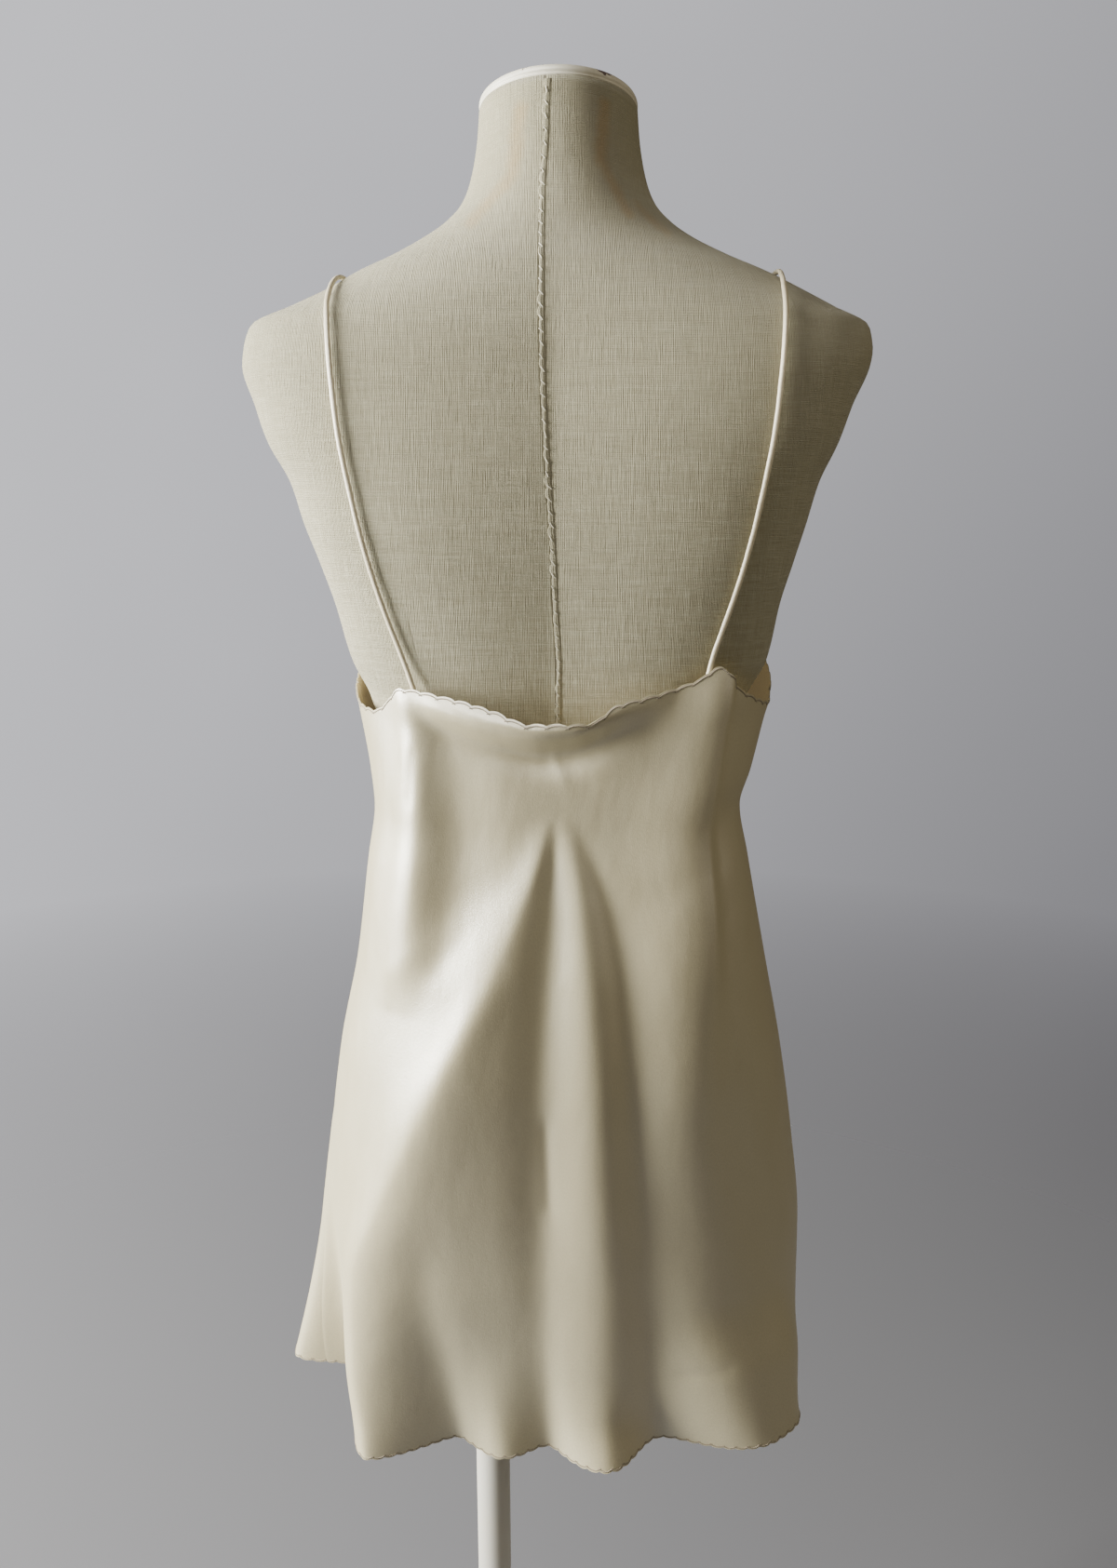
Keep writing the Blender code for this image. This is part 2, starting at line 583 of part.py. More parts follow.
def scallop_swell(fractions, count):
    """How far each scallop swells past the line of its ends."""
    place = (fractions * count) % 1.0
    return SCALLOP_DEPTH * 4.0 * place * (1.0 - place)


def neck_heights(neck, angles):
    """The neckline's height at some angles."""
    return column(neck, "angle", "height")(angles)


def panel_mesh(name, is_back, neck, neck_scallops):
    """One panel of cloth as an open surface: an even grid with a scalloped strip at each end."""
    shape = bmesh.new()
    fractions = np.linspace(0.0, 1.0, PANEL_COLUMNS + 1)
    levels = 1.0 - (1.0 - np.linspace(0.0, 1.0, PANEL_ROWS + 1)) ** ROW_CROWDING
    mean_top = float(np.mean([point.height for point in neck]))
    side_tops = [SIDE_TOP_LEFT, SIDE_TOP_RIGHT] if is_back else [SIDE_TOP_RIGHT, SIDE_TOP_LEFT]

    def row_points(level, row_fractions, drop, swell):
        """Points across the panel at a share of its height, moved down by drop."""
        ends = [HEM_HEIGHT + level * (side - HEM_HEIGHT) - drop for side in side_tops]
        start, end = seam_angles(ends, is_back)
        mean_height = HEM_HEIGHT + level * (mean_top - HEM_HEIGHT)
        angles = even_angles(mean_height, start, end, row_fractions)
        tops = neck_heights(neck, angles)
        heights = HEM_HEIGHT + level * (tops - HEM_HEIGHT) - drop + swell
        return dress_point(angles, heights)

    def add_row(points):
        return [shape.verts.new((p[0] + BODY_X, p[1], p[2])) for p in points]

    grid = []
    for level in levels:
        drop = EDGE_BAND * (2.0 * level - 1.0)
        grid.append(add_row(row_points(level, fractions, drop, 0.0)))
    for low, high in zip(grid[:-1], grid[1:]):
        for i in range(PANEL_COLUMNS):
            shape.faces.new((low[i], low[i + 1], high[i + 1], high[i]))

    hem = scallop_fractions(HEM_SCALLOPS)
    hem_row = add_row(row_points(0.0, hem, 0.0, -scallop_swell(hem, HEM_SCALLOPS)))
    zip_rows(shape, list(zip(hem, hem_row)), list(zip(fractions, grid[0])))
    top = scallop_fractions(neck_scallops)
    top_row = add_row(row_points(1.0, top, 0.0, scallop_swell(top, neck_scallops)))
    zip_rows(shape, list(zip(fractions, grid[-1])), list(zip(top, top_row)))

    mesh = bpy.data.meshes.new(name)
    shape.to_mesh(mesh)
    shape.free()
    return mesh


def make_panel(name, is_back, neck, neck_scallops, collection):
    """A panel with its wall turned outwards, so its inner face keeps clear of the form."""
    mesh = panel_mesh(name, is_back, neck, neck_scallops)
    panel = new_object(name, mesh, SATIN, collection)
    wall = panel.modifiers.new("wall", "SOLIDIFY")
    wall.thickness = CLOTH_WALL
    wall.offset = 1.0
    wall.use_even_offset = False
    wall.use_quality_normals = True
    panel.data.shade_smooth()
    return panel


def ring_heights():
    """Heights for the form's rings, even along its side outline."""
    fine = np.linspace(FORM_RINGS[0].height, FORM_RINGS[-1].height, ARC_SAMPLES)
    outline = np.stack([FORM["left"](fine), fine], axis=-1)
    steps = np.linalg.norm(np.diff(outline, axis=0), axis=1)
    along = np.concatenate([[0.0], np.cumsum(steps)])
    return np.interp(np.linspace(0.0, along[-1], FORM_RING_COUNT), along, fine)


def make_form(collection):
    """The dress form's torso and neck, lofted through its rings and closed at both ends."""
    shape = bmesh.new()
    angles = np.arange(FORM_SIDES) * 360.0 / FORM_SIDES
    rings = []
    for height in ring_heights():
        points = form_point(angles, np.full(FORM_SIDES, height))
        rings.append([shape.verts.new((p[0] + BODY_X, p[1], p[2])) for p in points])
    for low, high in zip(rings[:-1], rings[1:]):
        for i in range(FORM_SIDES):
            j = (i + 1) % FORM_SIDES
            shape.faces.new((low[i], low[j], high[j], high[i]))
    shape.faces.new(list(reversed(rings[0])))
    shape.faces.new(rings[-1])
    mesh = bpy.data.meshes.new("form_torso")
    shape.to_mesh(mesh)
    shape.free()
    form = new_object("form_torso", mesh, LINEN, collection)
    form.data.shade_smooth()
    return form


def turned(name, profile, steps, finish, collection):
    """A solid of revolution from (radius, height) points, outer side from top to bottom."""
    shape = bmesh.new()
    verts = [shape.verts.new((radius, 0.0, height)) for radius, height in profile]
    for a, b in zip(verts[:-1], verts[1:]):
        shape.edges.new((a, b))
    mesh = bpy.data.meshes.new(name)
    shape.to_mesh(mesh)
    shape.free()
    part = new_object(name, mesh, finish, collection)
    spin = part.modifiers.new("turn", "SCREW")
    spin.steps = steps
    spin.render_steps = steps
    spin.use_merge_vertices = True
    spin.merge_threshold = 0.0001
    spin.use_smooth_shade = True
    return part


def corner(radius, height, size, start, end, steps):
    """Points of a rounded edge of the given size, round its own centre."""
    turns = np.radians(np.linspace(start, end, steps))
    return [(radius + size * math.cos(t), height + size * math.sin(t)) for t in turns]


def make_cap(collection):
    """The neck's round cap with its rolled rim, leaning with the top of the neck."""
    rim = CAP_DIAMETER / 2
    roll = 0.0036
    profile = [(0.0, CAP_HEIGHT + 0.0012), (rim * 0.6, CAP_HEIGHT + 0.0008)]
    profile += corner(rim - roll, CAP_HEIGHT - roll, roll, 80.0, 0.0, 5)
    profile += corner(rim - 0.001, 0.001, 0.001, 0.0, -90.0, 3)
    profile += [(0.0, 0.0)]
    cap = turned("neck_cap", profile, 40, CREAM_PAINT, collection)
    top = FORM_RINGS[-1]
    lean = math.atan(top.tilt)
    seat = Vector((BODY_X, top.centre, top.height))
    lift = Vector((0.0, -math.sin(lean), math.cos(lean))) * FIT_GAP
    cap.matrix_world = Matrix.Translation(seat + lift) @ Matrix.Rotation(lean, 4, "X")
    return cap


def make_base(collection):
    """The round foot: a low plate that rises to a hub for the pole."""
    rim = BASE_DIAMETER / 2
    hub = HUB_DIAMETER / 2
    profile = [(0.0, HUB_TOP)]
    profile += corner(hub - 0.003, HUB_TOP - 0.003, 0.003, 90.0, 0.0, 4)
    profile += [(hub + 0.002, BASE_RISE + 0.004), (hub + 0.010, BASE_RISE)]
    profile += corner(rim - 0.005, BASE_EDGE - 0.005, 0.005, 85.0, 0.0, 5)
    profile += [(rim, 0.0015), (rim - 0.0015, 0.0), (0.0, 0.0)]
    return turned("stand_base", profile, 56, CREAM_PAINT, collection)


def make_pole(collection):
    """The upright tube between the hub and the form's flat underside."""
    bottom = HUB_TOP + FIT_GAP
    top = FORM_RINGS[0].height - FIT_GAP
    bpy.ops.mesh.primitive_cylinder_add(
        vertices=32,
        radius=POLE_DIAMETER / 2,
        depth=top - bottom,
        location=(0.0, 0.0, (top + bottom) / 2),
    )
    pole = bpy.context.object
    pole.name = "stand_pole"
    for other in list(pole.users_collection):
        other.objects.unlink(pole)
    collection.objects.link(pole)
    paint(pole, CREAM_PAINT)
    return pole


def quarter_angle(quarter, is_back, side):
    """The body's angle that lies so many degrees from its side (1 left, -1 right)."""
    turned_to = quarter if is_back else -quarter
    return (turned_to if side > 0 else 180.0 - turned_to) % 360.0


def form_angle_at(height, sideways, is_back, side):
    """The angle where the form is the given distance from the body's middle."""
    quarter = np.linspace(0.0, 90.0, 181)
    angles = quarter_angle(quarter, is_back, side)
    reach = side * form_point(angles, np.full(len(angles), height))[:, 0]
    return quarter_angle(float(np.interp(-sideways, -reach, quarter)), is_back, side)


def form_normal(angle, height):
    """The form's outward direction at a place on it."""
    small = 0.001
    here = form_point(angle, height)
    round_it = form_point(angle + 0.1, height) - here
    up_it = form_point(angle, height + small) - here
    normal = np.cross(round_it, up_it)
    return normal / np.linalg.norm(normal)


def strap_side(stations, is_back, lift_off, side):
    """Half of a strap, from its sewn end up to the shoulder's ridge."""
    run = column(stations, "height", "sideways")
    low = stations[0].height
    fine = np.linspace(low, stations[-1].height, ARC_SAMPLES // 2)
    rest = STRAP_DIAMETER / 2 + STRAP_REST
    reach = STRAP_REACH[side]
    points = []
    for height in fine:
        angle = form_angle_at(height, reach * float(run(height)), is_back, side)
        point = form_point(angle, height) + rest * form_normal(angle, height)
        inside_cloth = CLOTH_TO_FORM * 0.8 + STRAP_DIAMETER / 2
        cloth_gap = float(dress_radius(angle, height) - form_radius(angle, height))
        away = max(cloth_gap - inside_cloth - rest, 0.0)
        share = min((height - low) / lift_off, 1.0)
        ease = (1.0 - share) ** 2 * (1.0 + 2.0 * share)
        outward = np.array([math.cos(math.radians(angle)), math.sin(math.radians(angle)), 0.0])
        points.append(point + away * ease * outward)
    points = np.array(points)
    along = np.concatenate([[0.0], np.cumsum(np.linalg.norm(np.diff(points, axis=0), axis=1))])
    wanted = np.linspace(0.0, along[-1], STRAP_POINTS_PER_SIDE)
    return np.stack([np.interp(wanted, along, points[:, k]) for k in range(3)], axis=-1)


def form_samples():
    """Many points of the form's surface above the waist, with their outward directions."""
    angles = np.linspace(0.0, 360.0, FORM_SAMPLE_SIDES, endpoint=False)
    heights = np.linspace(STRAP_BACK[0].height - 0.02, FORM_RINGS[-1].height, FORM_SAMPLE_RINGS)
    around, up = np.meshgrid(angles, heights)
    points = form_point(around, up)
    round_it = np.roll(points, -1, axis=1) - np.roll(points, 1, axis=1)
    up_it = np.gradient(points, axis=0)
    normals = np.cross(round_it, up_it)
    normals /= np.linalg.norm(normals, axis=-1, keepdims=True)
    return points.reshape(-1, 3), normals.reshape(-1, 3)


def lifted_clear(path, gap):
    """The path with each point moved out of the form until it has the gap."""
    surface, normals = form_samples()
    lifted = path.copy()
    for i, point in enumerate(path):
        nearest = np.argmin(((surface - point) ** 2).sum(axis=1))
        height_over = float((point - surface[nearest]) @ normals[nearest])
        lifted[i] = point + max(gap - height_over, 0.0) * normals[nearest]
    return lifted


def strap_path(side):
    """A strap's middle line, from the back neckline over the shoulder to the front."""
    back = strap_side(STRAP_BACK, True, STRAP_BACK_LIFT_OFF, side)
    front = strap_side(STRAP_FRONT, False, STRAP_FRONT_LIFT_OFF, side)
    path = np.concatenate([back[:-1], front[::-1][1:]])
    rest = STRAP_DIAMETER / 2 + STRAP_REST
    for _ in range(STRAP_SMOOTHINGS):
        path[1:-1] = 0.25 * path[:-2] + 0.5 * path[1:-1] + 0.25 * path[2:]
        path = lifted_clear(path, rest)
    return path


def make_strap(name, side, collection):
    """A narrow rouleau strap, on the left (side 1) or on the right (side -1)."""
    curve = bpy.data.curves.new(name, "CURVE")
    curve.dimensions = "3D"
    curve.bevel_depth = STRAP_DIAMETER / 2
    curve.bevel_resolution = 2
    curve.use_fill_caps = True
    path = strap_path(side)
    spline = curve.splines.new("POLY")
    spline.points.add(len(path) - 1)
    for point, place in zip(spline.points, path):
        point.co = (BODY_X + place[0], place[1], place[2], 1.0)
    strap = bpy.data.objects.new(name, curve)
    collection.objects.link(strap)
    paint(strap, SATIN)
    return strap


def main():
    for old in list(bpy.data.objects):
        bpy.data.objects.remove(old)
    collection = bpy.data.collections.new("slip_dress_on_form")
    bpy.context.scene.collection.children.link(collection)
    make_base(collection)
    make_pole(collection)
    make_form(collection)
    make_cap(collection)
    make_panel("dress_back", True, BACK_NECK, BACK_NECK_SCALLOPS, collection)
    make_panel("dress_front", False, FRONT_NECK, FRONT_NECK_SCALLOPS, collection)
    make_strap("strap_left", 1, collection)
    make_strap("strap_right", -1, collection)


main()
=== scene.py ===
"""An ivory satin slip dress on a linen-covered dress form with a painted stand.

Units are metres and +Z is up. The garment's front faces -Y and the wearer's left is at +X.
Angles round the body run from the wearer's left (0) through the back (90) to the right (180)
and through the front (270). The body stands a little to one side of its pole.
"""

from __future__ import annotations

import logging
import math
from dataclasses import dataclass
from enum import Enum

import bpy
import numpy as np
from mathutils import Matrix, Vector

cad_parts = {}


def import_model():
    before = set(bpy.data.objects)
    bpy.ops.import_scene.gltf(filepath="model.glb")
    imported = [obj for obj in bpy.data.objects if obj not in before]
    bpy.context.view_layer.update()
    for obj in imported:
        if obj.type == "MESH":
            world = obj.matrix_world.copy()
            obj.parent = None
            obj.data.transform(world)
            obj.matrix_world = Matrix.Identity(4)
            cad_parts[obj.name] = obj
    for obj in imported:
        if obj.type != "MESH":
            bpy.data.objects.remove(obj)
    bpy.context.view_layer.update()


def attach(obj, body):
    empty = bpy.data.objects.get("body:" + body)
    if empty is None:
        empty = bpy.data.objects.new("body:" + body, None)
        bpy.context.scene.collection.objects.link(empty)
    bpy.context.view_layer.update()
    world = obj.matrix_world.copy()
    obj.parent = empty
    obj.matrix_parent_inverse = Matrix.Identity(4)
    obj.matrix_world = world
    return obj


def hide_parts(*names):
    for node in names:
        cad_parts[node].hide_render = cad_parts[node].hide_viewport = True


Array = np.ndarray
Socket = bpy.types.NodeSocket
Sockets = bpy.types.bpy_prop_collection
Colour = tuple[float, float, float]
Place = tuple[float, float, float]
Inputs = dict[str | int, object]

log = logging.getLogger("slip_dress")

BODY_X = -0.050
BODY = "root"


class Panel(Enum):
    """Which half of the garment a piece belongs to."""

    BACK = "back"
    FRONT = "front"


class Side(Enum):
    """The wearer's left or right, as the sign of X."""

    LEFT = 1
    RIGHT = -1


# ---------------------------------------------------------------- tables


class SmoothTable:
    """Rows of named columns, read as curves that never overshoot their points."""

    def __init__(self, columns: str, rows: tuple[tuple[float, ...], ...]) -> None:
        """Keeps the rows, sorted by the first column.

        Args:
            columns: The columns' names, parted by spaces.
            rows: One tuple of numbers per row.
        """
        self.names = columns.split()
        self.values = np.array(sorted(rows), float).T
        knots = self.values[0]
        steps = np.diff(knots)
        slopes = np.diff(self.values, axis=1) / steps
        same_way = slopes[:, :-1] * slopes[:, 1:] > 0
        before = 2 * steps[1:] + steps[:-1]
        after = steps[1:] + 2 * steps[:-1]
        low = np.where(same_way, slopes[:, :-1], 1.0)
        high = np.where(same_way, slopes[:, 1:], 1.0)
        inner = np.where(same_way, (before + after) / (before / low + after / high), 0.0)
        self.tangents = np.concatenate([slopes[:, :1], inner, slopes[:, -1:]], axis=1)

    def at(self, name: str, where: Array | float) -> Array:
        """Reads one column along the first one.

        Args:
            name: The column to read.
            where: Places along the first column.

        Returns:
            The column's value at each place, flat past the ends.
        """
        knots = self.values[0]
        column = self.names.index(name)
        values = self.values[column]
        tangents = self.tangents[column]
        where = np.clip(where, knots[0], knots[-1])
        i = np.clip(np.searchsorted(knots, where, side="right") - 1, 0, len(knots) - 2)
        step = knots[i + 1] - knots[i]
        t = (where - knots[i]) / step
        rise = values[i] * (2 * t**3 - 3 * t**2 + 1) + values[i + 1] * (3 * t**2 - 2 * t**3)
        bend = tangents[i] * (t**3 - 2 * t**2 + t) + tangents[i + 1] * (t**3 - t**2)
        return rise + bend * step


class Fold:
    """A ridge (rise > 0) or trough (rise < 0) that runs down the cloth."""

    def __init__(self, flatness: float, stations: tuple[tuple[float, ...], ...]) -> None:
        """Keeps the fold's run.

        Args:
            flatness: 2 for a round crest, more for a flat one.
            stations: Rows of height, angle, rise, and the spread in degrees before and after it.
        """
        self.flatness = flatness
        self.run = SmoothTable("height angle rise before after", stations)

    def rise(self, angle: Array, height: Array) -> Array:
        """How far the fold pushes the cloth out.

        Args:
            angle: Angles round the body, in degrees.
            height: Heights over the floor.

        Returns:
            The push at each place, in metres.
        """
        apart = angle_apart(angle, self.run.at("angle", height))
        spread = np.where(apart < 0, self.run.at("before", height), self.run.at("after", height))
        across = np.abs(apart) / spread
        return self.run.at("rise", height) * np.exp(-(across**self.flatness))


@dataclass(frozen=True)
class Crease:
    """A short dent or ridge between two places of the cloth."""

    start: tuple[float, float]
    end: tuple[float, float]
    rise: float
    width: float

    def push(self, angle: Array, height: Array, reach: float) -> Array:
        """How far the crease pushes the cloth out.

        Args:
            angle: Angles round the body, in degrees.
            height: Heights over the floor.
            reach: The cloth's usual distance from the body's middle.

        Returns:
            The push at each place, in metres.
        """
        metres = math.radians(1.0) * reach
        run = np.array([(self.end[0] - self.start[0]) * metres, self.end[1] - self.start[1]])
        length = max(float(np.hypot(*run)), 1e-6)
        x = angle_apart(angle, self.start[0]) * metres
        y = height - self.start[1]
        along = (x * run[0] + y * run[1]) / length
        across = (x * run[1] - y * run[0]) / length
        past = np.maximum(np.maximum(-along, along - length), 0.0) / (2.0 * self.width)
        return self.rise * np.exp(-((across / self.width) ** 2) - past**2)


def angle_apart(angle: Array | float, middle: Array | float) -> Array:
    """The signed difference of two angles, from -180 to 180 degrees."""
    return (angle - middle + 180.0) % 360.0 - 180.0


def bell(offset: Array, spread: float) -> Array:
    """A bump that is 1 where the offset is 0 and fades over the spread."""
    return np.exp(-((offset / spread) ** 2))


def unit(vectors: Array) -> Array:
    """The same directions, each 1 long."""
    return vectors / np.linalg.norm(vectors, axis=-1, keepdims=True)


def length_along(line: Array) -> Array:
    """How far each point of a line is from the line's start."""
    return np.concatenate([[0.0], np.cumsum(np.linalg.norm(np.diff(line, axis=0), axis=1))])


def turned_out(radius: Array, angle: Array) -> tuple[Array, Array]:
    """The X and Y of places at a distance and an angle in degrees from the middle."""
    return radius * np.cos(np.radians(angle)), radius * np.sin(np.radians(angle))


def nearest(points: Array, place: Array) -> int:
    """The number of the point that lies nearest to a place."""
    return int(np.argmin(((points - place) ** 2).sum(axis=1)))


def oval_radius(
    sections: SmoothTable, front_squareness: float, angle: Array, height: Array
) -> Array:
    """The distance from the middle to a squared oval with its own depth on each side.

    Args:
        sections: Half widths, depths and the squareness behind, by height.
        front_squareness: The squareness before the middle. 2 is an ellipse, more is squarer.
        angle: Angles in degrees.
        height: Heights over the floor.

    Returns:
        The distance at each place.
    """
    left, right, back, front, behind = (
        sections.at(name, height) for name in ("left", "right", "back", "front", "squareness"))
    c = np.cos(np.radians(angle))
    s = np.sin(np.radians(angle))
    wide = np.where(c > 0, left, right)
    deep = np.where(s > 0, back, front)
    squareness = np.where(s > 0, behind, front_squareness)
    power = (np.abs(c) / wide) ** squareness + (np.abs(s) / deep) ** squareness
    return power ** (-1.0 / squareness)


# ---------------------------------------------------------------- shapes


class FormShape:
    """The surface of the limbless dress form."""

    RINGS = SmoothTable("height left right front back centre squareness tilt", (
        (0.7000, 0.1200, 0.1200, 0.0800, 0.0790, 0.0, 2.2, 0.0),
        (0.7030, 0.1330, 0.1330, 0.0910, 0.0895, 0.0, 2.2, 0.0),
        (0.7120, 0.1385, 0.1385, 0.0965, 0.0950, 0.0, 2.2, 0.0),
        (0.7400, 0.1430, 0.1430, 0.1015, 0.1000, 0.0, 2.2, 0.0),
        (0.8000, 0.1440, 0.1440, 0.1050, 0.1055, 0.0, 2.2, 0.0),
        (0.8500, 0.1335, 0.1335, 0.1030, 0.1005, 0.0, 2.2, 0.0),
        (0.9000, 0.1220, 0.1220, 0.0985, 0.0920, 0.0, 2.2, 0.0),
        (0.9400, 0.1145, 0.1145, 0.0925, 0.0835, 0.0, 2.2, 0.0),
        (0.9800, 0.1120, 0.1120, 0.0890, 0.0785, 0.0, 2.4, 0.0),
        (1.0200, 0.1155, 0.1155, 0.0980, 0.0815, 0.0, 2.7, 0.0),
        (1.0450, 0.1185, 0.1185, 0.1090, 0.0855, 0.0, 3.0, 0.0),
        (1.0705, 0.1285, 0.1297, 0.1190, 0.0910, 0.0, 3.4, 0.0),
        (1.1065, 0.1365, 0.1354, 0.1260, 0.0975, 0.0, 3.8, 0.0),
        (1.1300, 0.1436, 0.1414, 0.1240, 0.1015, 0.0, 4.0, 0.0),
        (1.1520, 0.1515, 0.1476, 0.1160, 0.1040, 0.0, 4.0, 0.0),
        (1.1750, 0.1582, 0.1539, 0.1070, 0.1045, 0.0, 4.0, 0.0),
        (1.1970, 0.1703, 0.1642, 0.0990, 0.1030, 0.0, 4.0, 0.0),
        (1.2190, 0.1779, 0.1724, 0.0920, 0.0990, 0.0, 3.9, 0.0),
        (1.2410, 0.1850, 0.1825, 0.0860, 0.0930, 0.0, 3.7, 0.0),
        (1.2520, 0.1846, 0.1846, 0.0830, 0.0890, 0.0, 3.4, 0.0),
        (1.2630, 0.1820, 0.1835, 0.0795, 0.0840, 0.0, 3.1, 0.0),
        (1.2740, 0.1597, 0.1645, 0.0760, 0.0785, 0.0, 2.8, 0.0),
        (1.2845, 0.1392, 0.1465, 0.0730, 0.0730, -0.001, 2.5, 0.0),
        (1.2950, 0.1220, 0.1268, 0.0695, 0.0680, -0.003, 2.3, 0.0),
        (1.3045, 0.1030, 0.1055, 0.0655, 0.0635, -0.006, 2.15, 0.0),
        (1.3152, 0.0845, 0.0845, 0.0605, 0.0600, -0.010, 2.05, 0.0),
        (1.3250, 0.0700, 0.0700, 0.0570, 0.0580, -0.014, 2.0, 0.02),
        (1.3355, 0.0600, 0.0600, 0.0540, 0.0560, -0.018, 2.0, 0.05),
        (1.3460, 0.0550, 0.0550, 0.0520, 0.0535, -0.0205, 2.0, 0.08),
        (1.3600, 0.0512, 0.0512, 0.0500, 0.0510, -0.0215, 2.0, 0.11),
        (1.3750, 0.0488, 0.0488, 0.0482, 0.0488, -0.022, 2.0, 0.135),
        (1.3900, 0.0475, 0.0475, 0.0475, 0.0475, -0.022, 2.0, 0.14),
    ))
    FRONT_SQUARENESS = 2.2
    CHEST = (
        (304.0, 1.115, 0.011, 17.0, 0.045),
        (236.0, 1.115, 0.011, 17.0, 0.045),
    )
    SPINE_DEPTH = 0.0045
    SPINE_SPREAD = 0.050
    SPINE_SIDEWAYS = 0.004
    SPINE_TOP = 1.295
    SPINE_FADE = 0.060
    TURN_STEP = 0.1
    HEIGHT_STEP = 0.001

    def radius(self, angle: Array, height: Array) -> Array:
        """The distance from the form's own middle line.

        Args:
            angle: Angles round the body, in degrees.
            height: Heights over the floor.

        Returns:
            The distance at each place.
        """
        radius = oval_radius(self.RINGS, self.FRONT_SQUARENESS, angle, height)
        for at, tall_at, rise, spread, tall in self.CHEST:
            across = angle_apart(angle, at) / spread
            radius = radius + rise * np.exp(-(across**2) - ((height - tall_at) / tall) ** 2)
        x, _ = turned_out(radius, angle)
        from_spine = np.abs(x - self.SPINE_SIDEWAYS) / self.SPINE_SPREAD
        backwards = np.sin(np.radians(angle))
        share = np.clip((self.SPINE_TOP - height) / self.SPINE_FADE, 0.0, 1.0) * (backwards > 0.0)
        return radius - self.SPINE_DEPTH * share * backwards * np.exp(-from_spine)

    def point(self, angle: Array, height: Array) -> Array:
        """Points of the surface in the body's own frame.

        Args:
            angle: Angles round the body, in degrees.
            height: Heights of the form's rings.

        Returns:
            An array of points, one for each place.
        """
        x, y = turned_out(self.radius(angle, height), angle)
        up = height + self.RINGS.at("tilt", height) * y
        return np.stack([x, y + self.RINGS.at("centre", height), up], axis=-1)

    def normal(self, angle: Array | float, height: Array | float) -> Array:
        """The outward direction at some places.

        Args:
            angle: Angles round the body, in degrees.
            height: Heights of the form's rings.

        Returns:
            Unit vectors, one for each place.
        """
        angle = np.asarray(angle, float)
        height = np.asarray(height, float)
        here = self.point(angle, height)
        round_it = self.point(angle + self.TURN_STEP, height) - here
        up_it = self.point(angle, height + self.HEIGHT_STEP) - here
        return unit(np.cross(round_it, up_it))


